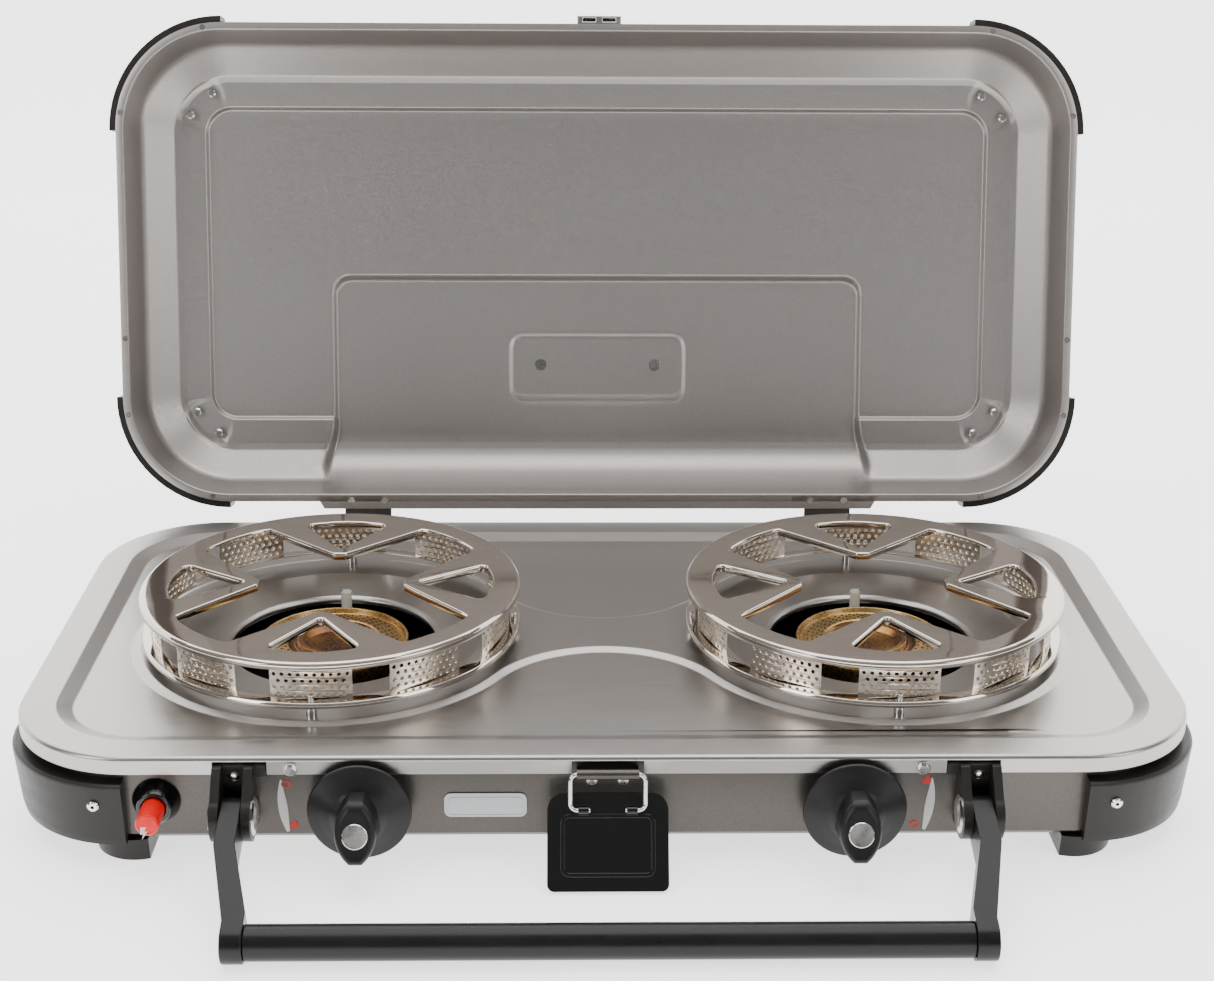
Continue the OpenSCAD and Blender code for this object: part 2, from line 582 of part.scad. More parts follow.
module lid_catch() color(polished) lid_pose() translate([0, lid_front, lid_base]) difference() {
  translate([-15.5, 0, 0]) rotate([90, 0, 90]) linear_extrude(31)
    polygon([[4.2, 0.8], [-5.7, 0.8], [-5.7, 6], [-4.5, 6], [-4.5, 2], [4.2, 2], [7.6, 16],
      [8.9, 16], [5.75, 3], [4.6, 0.8]]);
  for (s = [-1, 1]) translate([s * 7 - 4.5, -4, 0]) cube([9, 2.4, 3]);
}
module lid_plate() color(polished) lid_pose() translate([0, lid_mid + lid_d / 2 - 96,
    lid_base + lid_depth + pocket_out + 0.8]) {
  linear_extrude(1) rrect(108, 36, 8);
  for (s = [-42, 42]) translate([s, 0, -2.2]) {
    cylinder(r = 2, h = 4);
    cylinder(r = 4.4, h = 1.4);
    translate([0, 0, 3.2]) cylinder(r1 = 3.6, r2 = 2.4, h = 1.2);
  }
}

// ---- hinges ----
module hinge_lid_leaves() color(dark) lid_pose() for (s = [-1, 1]) translate([s * hinge_x, 0, 0])
    difference() {
  union() {
    along_x(-16.6, 16.6) polygon([[lid_back - 4, lid_base + 0.8], [lid_back - 4, lid_base + 2],
        [hinge_y - 1.6, lid_base + 2],
      [hinge_y - 1.6, lid_base + 0.8]]);
    along_x(-7, 7) {
      polygon([[hinge_y - 4, lid_base + 0.8], [hinge_y - 4, lid_base + 2], [hinge_y + 0.5, lid_base + 2],
        [hinge_y + 3.4, hinge_z + 3], [hinge_y + 4, hinge_z], [hinge_y, hinge_z], [hinge_y - 3.4,
            hinge_z + 2.1]]);
      translate([hinge_y, hinge_z]) circle(knuckle_r);
      translate([hinge_y, hinge_z]) rotate(lid_open) translate([-1.8, -8.2]) square([2, 7]);
    }
  }
  along_x(-8, 8) translate([hinge_y, hinge_z]) circle(pin_r + 0.05);
  for (k = [-12, 12]) translate([k, lid_mid + lid_d / 2 - 0.6, lid_base]) cylinder(r = 1.5, h = 6);
}
module hinge_base_leaves() color(dark) for (s = [-1, 1]) translate([s * hinge_x, 0, 0]) difference() {
  union() {
    along_x(-16.6, 16.6) polygon([[back, rim_z - 46], [back + 1.4, rim_z - 46], [back + 1.4, rim_z - 13.4],
      [hinge_y - 2.1, rim_z - 13.4], [hinge_y - 2.1, rim_z - 8.4], [hinge_y - 3.9, rim_z - 8.4],
      [hinge_y - 3.9, rim_z - 12], [back, rim_z - 12]]);
    for (k = [-16.6, 7.4]) along_x(k, k + 9.2) {
      polygon([[hinge_y - 3.95, hinge_z], [hinge_y - 3.9, rim_z - 9], [hinge_y - 2.1, rim_z - 9],
          [hinge_y, hinge_z - 3]]);
      translate([hinge_y, hinge_z]) circle(knuckle_r);
    }
  }
  along_x(-18, 18) translate([hinge_y, hinge_z]) circle(pin_r);
  for (k = [-12, 12]) translate([k, back + 3, rim_z - 36]) rotate([90, 0, 0]) cylinder(r = 1.8, h = 6);
}
module hinge_pins() color(polished) for (s = [-1, 1]) translate([s * hinge_x, 0, 0])
  along_x(-16.6, 16.6) translate([hinge_y, hinge_z]) circle(pin_r);
module hinge_lid_rivets() color(polished) lid_pose() for (s = [-1, 1], k = [-12, 12])
  translate([s * hinge_x + k, lid_mid + lid_d / 2 - 0.6, lid_base - 0.4]) {
    cylinder(r = 2.4, h = 0.4, $fn = 32);
    cylinder(r = 1.5, h = 3.2, $fn = 32);
  }

// ---- latch ----
module latch_bracket() color(dark) difference() {
  union() {
    along_x(-17.2, 17.2) {
      translate([bail_y, bail_z]) circle(2.9);
      polygon([[bail_y, bail_z - 2.9], [front, bail_z - 2.9], [front, bail_z - 1.3], [bail_y,
          bail_z - 1.3]]);
    }
    on_front(0, front, 0) linear_extrude(1.2) polygon([[-17.2, bail_z - 1.4], [17.2, bail_z - 1.4],
      [17.2, bail_z - 6], [12, bail_z - 13], [-12, bail_z - 13], [-17.2, bail_z - 6]]);
  }
  along_x(-20, 20) translate([bail_y, bail_z]) circle(wire_r + 0.05);
  for (s = [-1, 1]) on_front(s * 8.7, front + 3, rim_z - 17) cylinder(r = 1.8, h = 8);
}
module latch_bail() color(polished) translate([0, bail_y, bail_z]) rotate([-bail_lean, 0, 0]) {
  x = bail_w / 2;
  c = 4;
  translate([-x + c, 0, 0]) rotate([0, 90, 0]) cylinder(r = wire_r, h = 2 * (x - c));
  pair() {
    translate([x, 0, -bail_len + c]) cylinder(r = wire_r, h = bail_len - 2 * c);
    translate([9.6, 0, -bail_len]) rotate([0, 90, 0]) cylinder(r = wire_r, h = x - c - 9.6);
    translate([x - c, 0, -c]) rotate([90, 0, 0]) rotate_extrude(angle = 90) translate([c, 0])
        circle(wire_r);
    translate([x - c, 0, -bail_len + c]) rotate([90, 0, 0]) rotate_extrude(angle = -90)
      translate([c, 0]) circle(wire_r);
  }
}
module latch_plate() color(black) translate([0, hook_y, hook_z]) rotate([-plate_lean, 0, 0]) difference() {
  union() {
    translate([0, 3.2, 0]) rotate([90, 0, 0]) linear_extrude(1.2) plate_shape(0);
    difference() {
      translate([0, plate_t, 0]) rotate([90, 0, 0]) linear_extrude(2.4) plate_shape(0);
      translate([0, plate_t + 1, 0]) rotate([90, 0, 0]) linear_extrude(9) plate_shape(1.2);
    }
    translate([0, 2.2, -19]) rotate([90, 0, 0]) linear_extrude(0.9)
      difference() { rrect(latch_w - 15, 34, 5); rrect(latch_w - 19, 30, 3); }
    for (s = [-1, 1]) along_x(s * 13.4 - 3, s * 13.4 + 3) {
      circle(2.6);
      translate([0, -2.6]) square([2.8, 5.2]);
    }
  }
  along_x(-30, 30) circle(wire_r + 0.05);
}
module plate_shape(g) {
  w = latch_w - 2 * g;
  translate([-w / 2, -plate_down + g + 4]) square([w, plate_up + plate_down - 2 * g - 14]);
  translate([-w / 2 + 10, -plate_down + g]) square([w - 20, plate_up + plate_down - 2 * g]);
  translate([-w / 2 + 4, -plate_down + g]) square([w - 8, 20]);
  for (s = [-1, 1]) {
    translate([s * (w / 2 - 10), plate_up - g - 10]) circle(10);
    translate([s * (w / 2 - 4), -plate_down + g + 4]) circle(4);
  }
}

// ---- handle ----
module handle_brackets() color(black) pair() difference() {
  union() {
    for (s = [-1, 1]) along_x(handle_x + s * (clevis_w / 2 - cheek_t / 2) - cheek_t / 2,
        handle_x + s * (clevis_w / 2 - cheek_t / 2) + cheek_t / 2) {
      translate([pivot_y, pivot_z]) circle(14);
      polygon([[front, pivot_z - 11], [pivot_y, pivot_z - 11], [pivot_y - 12, pivot_z + 6], [-3.4,
          rim_z - 5], [front, rim_z - 3.4]]);
    }
    along_x(handle_x - clevis_w / 2, handle_x + clevis_w / 2)
      polygon([[front, pivot_z - 13], [2.4, pivot_z - 13], [2.4, rim_z - 5.4], [front, rim_z - 3.4]]);
  }
  translate([handle_x - 40, front, 0]) cube([80, 40, 90]);
  along_x(handle_x - 30, handle_x + 30) translate([pivot_y, pivot_z]) circle(4);
  on_front(handle_x, front + 1, rim_z - 12) cylinder(r = 2, h = 8);
}
module bracket_screws() color(polished) pair() on_front(handle_x, 2.4, rim_z - 12) {
  rotate_extrude() polygon([[0, 0], [3.4, 0], [3, 1.2], [1.6, 2], [0, 2.2]]);
  translate([0, 0, -6.4]) cylinder(r = 2, h = 6.5);
}
module handle_pivots() color(polished) pair() translate([handle_x, pivot_y, pivot_z]) rotate([0, 90, 0]) {
  cylinder(r = 4, h = clevis_w + 1, center = true);
  for (s = [0, 1]) rotate([180 * s, 0, 0]) translate([0, 0, clevis_w / 2])
    rotate_extrude() polygon([[0, 0], [10.8, 0], [10.8, 0.5], [9, 1.4], [5, 2.2], [0, 2.4]]);
}
module handle_pose() translate([0, pivot_y, pivot_z]) rotate([handle_dip, 0, 0]) children();
module handle_arm() color(black) difference() {
  intersection() {
    along_x(170, 230) {
      circle(10);
      polygon([[0, 10], [-handle_reach, end_r], [-handle_reach, -end_r], [0, -10]]);
      translate([-handle_reach, 0]) circle(end_r);
    }
    translate([0, 0, -20]) linear_extrude(40) polygon([[handle_x - arm_t / 2, 14], [handle_x + arm_t / 2,
        14],
      [handle_x + arm_t / 2, -lean_from], [bar_x + arm_t, -handle_reach + 6],
      [bar_x + arm_t, -handle_reach - 14], [bar_x, -handle_reach - 14],
      [bar_x, -handle_reach + 12], [handle_x - arm_t / 2, -lean_from]]);
  }
  along_x(170, 230) circle(4.06);
}
module handle_arm_right() handle_pose() handle_arm();
module handle_arm_left() handle_pose() mirror([1, 0, 0]) handle_arm();
module handle_bar() color(black) handle_pose() along_x(-bar_x, bar_x) translate([-handle_reach, 0])
    circle(bar_r);

place() base_case();
place() cooktop();
place() rim_screws();
place() tube_rivets();
place() guard_front_left();
place() guard_front_right();
place() guard_back_left();
place() guard_back_right();
place() grate_studs();
place() burner_left_body();
place() burner_left_head();
place() burner_right_body();
place() burner_right_head();
place() burner_brackets();
place() electrode_insulators();
place() electrode_pins();
place() ignition_leads();
place() gas_rail();
place() valve_left();
place() valve_right();
place() jets();
place() gas_inlet();
place() inlet_nut();
place() igniter_body();
place() igniter_bezel();
place() igniter_button();
place() knob_left();
place() knob_right();
place() knob_left_disc();
place() knob_right_disc();
place() stem_left();
place() stem_right();
place() front_plate();
place() scale_marks();
place() grate_left_plate();
place() grate_left_screens();
place() grate_left_ring();
place() grate_right_plate();
place() grate_right_screens();
place() grate_right_ring();
place() lid_shell();
place() lid_guards();
place() lid_guard_rivets();
place() lid_corner_screws();
place() lid_catch();
place() lid_plate();
place() hinge_lid_leaves();
place() hinge_base_leaves();
place() hinge_pins();
place() hinge_lid_rivets();
place() latch_bracket();
place() latch_bail();
place() latch_plate();
place() handle_brackets();
place() bracket_screws();
place() handle_pivots();
place() handle_arm_left();
place() handle_arm_right();
place() handle_bar();
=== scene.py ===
"""Looks for the two-burner camping stove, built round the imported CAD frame.

Shapes are given in millimetres in the stove's own frame: x = 0 is the middle, y = 0 the front
edge of the cooktop and z = 0 the table.  put() turns them into metres in the row frame.
"""

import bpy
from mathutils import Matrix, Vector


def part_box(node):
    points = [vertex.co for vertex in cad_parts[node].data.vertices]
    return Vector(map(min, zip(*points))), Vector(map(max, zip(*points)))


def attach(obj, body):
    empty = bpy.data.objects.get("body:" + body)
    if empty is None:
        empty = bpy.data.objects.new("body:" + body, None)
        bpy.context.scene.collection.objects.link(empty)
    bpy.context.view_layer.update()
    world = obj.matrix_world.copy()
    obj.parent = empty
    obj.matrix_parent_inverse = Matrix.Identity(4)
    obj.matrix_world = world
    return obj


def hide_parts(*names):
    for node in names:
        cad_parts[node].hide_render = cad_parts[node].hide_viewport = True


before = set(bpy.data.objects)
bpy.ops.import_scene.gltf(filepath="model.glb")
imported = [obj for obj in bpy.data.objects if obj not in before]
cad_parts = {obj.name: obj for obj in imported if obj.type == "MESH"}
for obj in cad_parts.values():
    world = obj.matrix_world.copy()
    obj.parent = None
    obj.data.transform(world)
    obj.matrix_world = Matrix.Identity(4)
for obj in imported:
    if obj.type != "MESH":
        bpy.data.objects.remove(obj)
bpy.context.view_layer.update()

import math
from math import cos, hypot, pi, radians, sin

import bpy
import bmesh
from mathutils import Matrix, Vector
from mathutils.geometry import tessellate_polygon

Y_MID = -1000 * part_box("cooktop")[0].y
RIM = 68.0  # height of the cooktop's rim
TOP_W, TOP_D, CORNER = 680.0, 350.0, 75.0  # the cooktop's width, depth and corner radius
CORNER_X = TOP_W / 2 - CORNER
WALL_Y = 6.0  # outer face of the case's front wall
CUTOUT = (187.5, 217.5)  # where a handle bracket's hood breaks the rim, from the middle
BURNER_X, BURNER_Y = 169.0, 165.0
GRATE_TOP, RING_BASE = RIM + 33.5, RIM + 4.7
SCREEN_R, STUD_R = 110.8, 113.2
KNOB_X, KNOB_Z = 137.0, RIM - 30.5
IGNITER_X, IGNITER_Z, BUTTON_FACE_Y = -250.5, RIM - 29.5, -29.5
LID_OPEN = 103.8  # degrees
HINGE = (356.0, 64.8)  # the lid hinge's axis, as (y, z)
LID_FRONT, LID_BACK, LID_BASE = 3.5, 341.4, 68.8  # of the shut lid; the base is its open edge
LID_D, LID_MID = LID_BACK - LID_FRONT, (LID_BACK + LID_FRONT) / 2
V_ZERO, V_MID = 347.3, 174.6  # in the lid, v is V_ZERO - y: it rises from the hinge side
LID_FACE = 43.6  # depth of the lid's plain inner face
MERGE = 2e-6  # points closer than this, in metres, are one
SIDES = ((-1, "left"), (1, "right"))

# ------------------------------------------------------------------ materials

FINE_BUMP = 0.0002  # metres


class Nodes:
    """A material being built: shorthand for adding and linking nodes."""

    def __init__(self, name):
        self.mat = bpy.data.materials.new(name)
        self.mat.use_nodes = True
        self.tree = self.mat.node_tree
        self.bsdf = self.tree.nodes["Principled BSDF"]

    def add(self, kind, **props):
        node = self.tree.nodes.new("ShaderNode" + kind)
        for key, value in props.items():
            if key in node.inputs:
                node.inputs[key].default_value = value
            else:
                setattr(node, key, value)
        return node

    def link(self, a, b):
        self.tree.links.new(a, b)

    def coords(self, scale):
        tex = self.add("TexCoord")
        mapping = self.add("Mapping")
        mapping.inputs["Scale"].default_value = scale
        self.link(tex.outputs["Object"], mapping.inputs["Vector"])
        return mapping.outputs["Vector"]

    def noise(self, scale=(1, 1, 1), size=10.0, detail=4.0, rough=0.55):
        node = self.add("TexNoise", Scale=size, Detail=detail, Roughness=rough)
        self.link(self.coords(scale), node.inputs["Vector"])
        return node.outputs["Fac"]

    def ramp(self, fac, stops):
        node = self.add("ValToRGB")
        ramp = node.color_ramp
        while len(ramp.elements) < len(stops):
            ramp.elements.new(0.5)
        for element, (place, colour) in zip(ramp.elements, stops):
            element.position = place
            element.color = (*colour, 1)
        self.link(fac, node.inputs["Fac"])
        return node.outputs["Color"]

    def span(self, fac, low, high, lo_in=0.3, hi_in=0.7):
        node = self.add("MapRange")
        limits = (("From Min", lo_in), ("From Max", hi_in), ("To Min", low), ("To Max", high))
        for name, value in limits:
            node.inputs[name].default_value = value
        self.link(fac, node.inputs["Value"])
        return node.outputs["Result"]

    def bump(self, height, strength, distance):
        node = self.add("Bump", Strength=strength, Distance=distance)
        self.link(height, node.inputs["Height"])
        return node.outputs["Normal"]

    def times(self, a, b):
        mix = self.add("MixRGB", blend_type="MULTIPLY", Fac=1.0)
        self.link(a, mix.inputs["Color1"])
        self.link(b, mix.inputs["Color2"])
        return mix.outputs["Color"]

    def skin(self, colour, rough, normal):
        """Joins the three outputs every look is made of to the surface."""
        self.link(colour, self.bsdf.inputs["Base Color"])
        self.link(rough, self.bsdf.inputs["Roughness"])
        self.link(normal, self.bsdf.inputs["Normal"])

    def set(self, **values):
        for key, value in values.items():
            self.bsdf.inputs[key.replace("_", " ")].default_value = value


def tones(colour, spread):
    """A colour made darker and lighter by the same part."""
    return [tuple(min(1, c * k) for c in colour) for k in (1 - spread, 1 + spread)]


def brushed(name, colour, rough, stretch, spread=0.05, grain=0.10, blotch=0.04, bump=0.12):
    """Brushed or satin sheet metal: long fine scratches, faint stains, varying gloss."""
    n = Nodes(name)
    fine = n.noise(stretch, 900, 3, 0.6)
    wide = n.noise((1, 1, 1), 9, 4, 0.5)
    low, high = tones(colour, spread)
    base = n.ramp(fine, [(0.3, low), (0.7, high)])
    stain = n.ramp(wide, [(0.3, tones((1, 1, 1), blotch)[0]), (0.7, (1, 1, 1))])
    n.skin(n.times(base, stain), n.span(fine, rough - grain / 2, rough + grain / 2),
           n.bump(fine, bump, FINE_BUMP))
    n.set(Metallic=1.0)
    return n.mat


def polished(name, colour, rough, wave):
    """Plated, polished metal: almost a mirror, with faint ripples, smears and specks."""
    n = Nodes(name)
    ripple = n.noise((1, 1, 1), 22, 2, 0.4)
    smear = n.noise((1, 3, 1), 60, 5, 0.6)
    low, high = tones(colour, 0.05)
    n.skin(n.ramp(smear, [(0.3, low), (0.7, high)]), n.span(smear, rough * 0.7, rough * 1.6),
           n.bump(ripple, wave, 0.0006))
    n.set(Metallic=1.0)
    return n.mat


def plastic(name, colour, rough=0.42, grain=700, strength=0.25, coat=0.0, spread=0.12):
    """Moulded plastic or thick paint: fine skin grain, faint scuffs, soft uneven gloss."""
    n = Nodes(name)
    skin = n.noise((1, 1, 1), grain, 3, 0.5)
    scuff = n.noise((1, 1, 4), 35, 6, 0.65)
    low, high = tones(colour, spread)
    n.skin(n.ramp(scuff, [(0.35, low), (0.7, high)]), n.span(scuff, rough - 0.05, rough + 0.07),
           n.bump(skin, strength, FINE_BUMP))
    n.set(Coat_Weight=coat, Coat_Roughness=0.06, Specular_IOR_Level=0.26)
    return n.mat


def speckled(name, colour, rough, metallic, flake=0.16, spread=0.06):
    """Metallic paint: tiny flakes that catch the light over a satin ground."""
    n = Nodes(name)
    flakes = n.add("TexVoronoi", Scale=1400.0)
    n.link(n.coords((1, 1, 1)), flakes.inputs["Vector"])
    wide = n.noise((1, 1, 1), 6, 3, 0.5)
    split = n.add("SeparateColor")
    n.link(flakes.outputs["Color"], split.inputs["Color"])
    low, high = tones(colour, flake)
    base = n.ramp(split.outputs[0], [(0.0, low), (1.0, high)])
    cloud = n.ramp(wide, [(0.3, tones((1, 1, 1), spread)[0]), (0.7, (1, 1, 1))])
    n.skin(n.times(base, cloud), n.span(split.outputs[1], rough - 0.06, rough + 0.06, 0, 1),
           n.bump(n.noise((1, 1, 1), 800, 2, 0.5), 0.12, FINE_BUMP))
    n.set(Metallic=metallic)
    return n.mat


def burner_brass(name, stops):
    """Brass clouded by the flame, in the tones of stops."""
    n = Nodes(name)
    cloud = n.noise((1, 1, 1), 26, 4, 0.5)
    fine = n.noise((1, 1, 1), 500, 4, 0.6)
    n.skin(n.ramp(cloud, stops), n.span(fine, 0.22, 0.36), n.bump(fine, 0.08, FINE_BUMP))
    n.set(Metallic=1.0)
    return n.mat


PAINT = (0.085, 0.077, 0.070)
M = {
    "case": speckled("case_metallic_paint", PAINT, 0.34, 0.8, 0.08),
    "top": brushed("cooktop_brushed", (0.40, 0.38, 0.365), 0.30, (0.02, 1, 1), 0.03, 0.05, 0.03, 0.05),
    "lid": speckled("lid_satin", (0.36, 0.335, 0.32), 0.38, 0.9, 0.05, 0.04),
    "lid_out": speckled("lid_paint", PAINT, 0.34, 0.8, 0.08),
    "hardware": polished("hardware_plate", (0.72, 0.71, 0.69), 0.16, 0.15),
    "badge": brushed("badge_satin", (0.36, 0.37, 0.38), 0.38, (0.05, 1, 1)),
    # the grate plate and the screens are the same nickel plating in two tones: the plate's darker tint
    # is painted shade for the darker lid it reflects, and the screens' paler tint is painted light
    "grate": polished("grate_nickel_painted_shade", (0.60, 0.545, 0.485), 0.045, 0.12),
    "screen": polished("screen_nickel_painted_light", (0.86, 0.78, 0.68), 0.16, 0.10),
    "black": plastic("guard_plastic_black", (0.013, 0.011, 0.010), 0.38),
    "handle": plastic("handle_black", (0.008, 0.007, 0.007), 0.30, 900, 0.10),
    "knob": plastic("knob_black", (0.009, 0.008, 0.008), 0.36, 900, 0.12),
    "latch": plastic("latch_gloss_black", (0.004, 0.004, 0.004), 0.10, 400, 0.02, 0.5),
    "brass": burner_brass("burner_brass_gold", [
        (0.35, (0.42, 0.25, 0.09)), (0.5, (0.60, 0.40, 0.15)), (0.65, (0.52, 0.36, 0.17))]),
    "burnt": burner_brass("burner_brass_burnt", [
        (0.35, (0.085, 0.04, 0.035)), (0.5, (0.22, 0.10, 0.035)), (0.62, (0.36, 0.21, 0.07)),
        (0.75, (0.12, 0.08, 0.09))]),
    # the ports' near-black colour is painted shade: the port holes are drawn as dark studs
    "port": speckled("port_shadow", (0.03, 0.02, 0.014), 0.6, 0.3),
    "gas_brass": brushed("gas_brass", (0.55, 0.42, 0.20), 0.28, (1, 1, 1)),
    "cast": speckled("burner_cast", (0.30, 0.29, 0.28), 0.45, 0.9),
    "sheet": brushed("bracket_sheet", (0.42, 0.42, 0.41), 0.34, (0.1, 1, 1)),
    "ceramic": plastic("ceramic_glaze", (0.72, 0.70, 0.64), 0.22, 300, 0.06, 0.3, 0.05),
    "lead": plastic("lead_rubber", (0.02, 0.02, 0.02), 0.55),
    "red": plastic("button_red", (0.72, 0.004, 0.004), 0.30, 500, 0.06, 0.1, 0.05),
    "mark": plastic("mark_grey", (0.55, 0.54, 0.53), 0.45, 500, 0.05, 0.0, 0.04),
    "mark_red": plastic("mark_red", (0.45, 0.03, 0.02), 0.45, 500, 0.05, 0.0, 0.05),
}
CAD_LOOK = {
    "case": ["base_case", "hinge_lid_leaves", "hinge_base_leaves", "latch_bracket"],
    "top": ["cooktop"],
    "lid": ["lid_shell"],
    "hardware": ["rim_screws", "tube_rivets", "lid_guard_rivets", "lid_corner_screws", "lid_catch",
                 "hinge_pins", "hinge_lid_rivets", "bracket_screws", "handle_pivots", "latch_bail",
                 "electrode_pins", "inlet_nut", "grate_studs", "knob_left_disc", "knob_right_disc",
                 "lid_plate"],
    "badge": ["front_plate"],
    "grate": [f"grate_{s}_{p}" for s in ("left", "right") for p in ("plate", "screens", "ring")],
    "black": [f"guard_{e}_{s}" for e in ("front", "back") for s in ("left", "right")]
             + ["lid_guards", "handle_brackets", "igniter_body"],
    "handle": ["handle_arm_left", "handle_arm_right", "handle_bar"],
    "knob": ["knob_left", "knob_right"],
    "latch": ["latch_plate", "igniter_bezel"],
    "brass": ["burner_left_head", "burner_right_head"],
    "gas_brass": ["gas_rail", "valve_left", "valve_right", "jets", "gas_inlet", "stem_left",
                  "stem_right"],
    "cast": ["burner_left_body", "burner_right_body"],
    "sheet": ["burner_brackets"],
    "ceramic": ["electrode_insulators"],
    "lead": ["ignition_leads"],
    "red": ["igniter_button"],
    "mark": ["scale_marks"],
}
for look, names in CAD_LOOK.items():
    for name in names:
        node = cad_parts[name]
        node.data.materials.clear()
        node.data.materials.append(M[look])

# ------------------------------------------------------------------ mesh tools


def put(p):
    """A point in the stove's millimetres as metres in the row frame."""
    return Vector((p[0], p[1] - Y_MID, p[2])) * 0.001


def make(name, verts, faces, look, body, stands_for, crease, pose=None, thick=None, shading=True):
    """A piece from points in the stove frame.  pose is an extra 4x4 matrix in that frame, and thick
    makes a sheet of it, inward when positive."""
    mesh = bpy.data.meshes.new(name)
    if pose is not None:
        verts = [pose @ Vector(v) for v in verts]
    mesh.from_pydata([put(v) for v in verts], [], faces)
    mesh.validate()
    bm = bmesh.new()
    bm.from_mesh(mesh)
    bmesh.ops.remove_doubles(bm, verts=bm.verts, dist=MERGE)
    bmesh.ops.recalc_face_normals(bm, faces=bm.faces)
    bm.to_mesh(mesh)
    bm.free()
    mesh.materials.append(M[look])
    mesh.shade_smooth()
    mesh.set_sharp_from_angle(angle=radians(crease))
    obj = bpy.data.objects.new(name, mesh)
    bpy.context.scene.collection.objects.link(obj)
    if thick:
        mod = obj.modifiers.new("thickness", "SOLIDIFY")
        mod.thickness = abs(thick) * 0.001
        mod.offset = -1 if thick > 0 else 1
    if shading:
        obj.modifiers.new("shading", "WEIGHTED_NORMAL").keep_sharp = True
    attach(obj, body)
    if stands_for:
        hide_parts(*stands_for)
    return obj


def rounded(points, closed=False, fine=6.0):
    """A polyline from (x, y) or (x, y, radius) corners, with every radius drawn as an arc in steps
    of about fine degrees."""
    out = []
    count = len(points)
    for i, p in enumerate(points):
        r = p[2] if len(p) > 2 else 0
        here = Vector(p[:2])
        if r <= 0 or (not closed and i in (0, count - 1)):
            out.append(tuple(here))
            continue
        a = Vector(points[i - 1][:2]) - here
        b = Vector(points[(i + 1) % count][:2]) - here
        la, lb = a.length, b.length
        a, b = a.normalized(), b.normalized()
        half = math.acos(max(-1, min(1, a.dot(b)))) / 2
        if half > pi / 2 - 0.01:
            out.append(tuple(here))
            continue
        cut = min(r / math.tan(half), la * 0.49, lb * 0.49)
        r = cut * math.tan(half)
        centre = here + (a + b).normalized() * (r / sin(half))
        s, e = here + a * cut - centre, here + b * cut - centre
        turn = math.atan2(s.x * e.y - s.y * e.x, s.dot(e))
        steps = max(2, int(abs(math.degrees(turn)) / fine))
        for k in range(steps + 1):
            t = turn * k / steps
            out.append((centre.x + s.x * cos(t) - s.y * sin(t),
                        centre.y + s.x * sin(t) + s.y * cos(t)))
    return out


def shifted(faces, by):
    """Faces with every point number raised."""
    return [tuple(i + by for i in f) for f in faces]


def walls(loops, start, count):
    """Side faces between two copies of some loops, whose point numbers are count apart."""
    faces = []
    for loop in loops:
        m = len(loop)
        for i in range(m):
            a, b = start + i, start + (i + 1) % m
            faces.append((a, b, b + count, a + count))
        start += m
    return faces


def cap_grid(rows, closed_rows=True, start=0):
    """Quads between neighbouring rows of equal length."""
    faces = []
    n = len(rows[0])
    last = n if closed_rows else n - 1
    for i in range(len(rows) - 1):
        for k in range(last):
            a, b = start + i * n + k, start + i * n + (k + 1) % n
            faces.append((a, b, b + n, a + n))
    return faces


def revolve(profile, centre, segments=96, axis="z", closed=False):
    """profile is (radius, height) pairs; axis z points up, axis y points out of the front."""
    rows = []
    for r, h in profile:
        row = []
        for k in range(segments):
            t = 2 * pi * k / segments
            u, v = r * cos(t), r * sin(t)
            if axis == "z":
                row.append((centre[0] + u, centre[1] + v, centre[2] + h))
            else:
                row.append((centre[0] + u, centre[1] - h, centre[2] + v))
        rows.append(row)
    verts = [p for row in rows for p in row]
    faces = cap_grid(rows + ([rows[0]] if closed else []))
    if closed:
        total = len(rows) * segments
        faces = [tuple(i % total for i in f) for f in faces]
    return verts, faces


def rrect_loop(w, d, r, centre=(0, 0), corner=20, xs=(), ys=()):
    """Points round a rounded rectangle, anticlockwise from the right front corner.
    xs and ys are extra stations on the straight front and back, and on the straight sides."""
    cx, cy = centre
    out = []
    xs, ys = sorted(xs), sorted(ys)

    def arc(px, py, t0):
        for k in range(corner + 1):
            t = t0 + pi / 2 * k / corner
            out.append((cx + px + r * cos(t), cy + py + r * sin(t)))
    hw, hd = w / 2 - r, d / 2 - r
    arc(hw, -hd, -pi / 2)
    out.extend((cx + w / 2, cy + y) for y in ys)
    arc(hw, hd, 0)
    out.extend((cx + x, cy + d / 2) for x in reversed(xs))
    arc(-hw, hd, pi / 2)
    out.extend((cx - w / 2, cy + y) for y in reversed(ys))
    arc(-hw, -hd, pi)
    out.extend((cx + x, cy - d / 2) for x in xs)
    return out


def sweep(profile, w, d, r, centre=(0, 0), **kw):
    """Carries (inset, height) round a rounded rectangle; one row of points per profile point."""
    rows = []
    for inset, z in profile:
        loop = rrect_loop(w - 2 * inset, d - 2 * inset, max(r - inset, 0.001), centre, **kw)
        rows.append([(x, y, z) for x, y in loop])
    return rows


def offset_loop(loop, amount):
    """A closed loop moved sideways: positive is away from the inside of an anticlockwise loop."""
    n = len(loop)
    out = []
    for i in range(n):
        a, b, c = Vector(loop[i - 1]), Vector(loop[i]), Vector(loop[(i + 1) % n])
        d1, d2 = (b - a).normalized(), (c - b).normalized()
        n1, n2 = Vector((d1.y, -d1.x)), Vector((d2.y, -d2.x))
        m = n1 + n2
        m = m / max(m.dot(n1), 0.2) if m.length > 1e-6 else n1
        out.append((b.x + m.x * amount, b.y + m.y * amount))
    return out


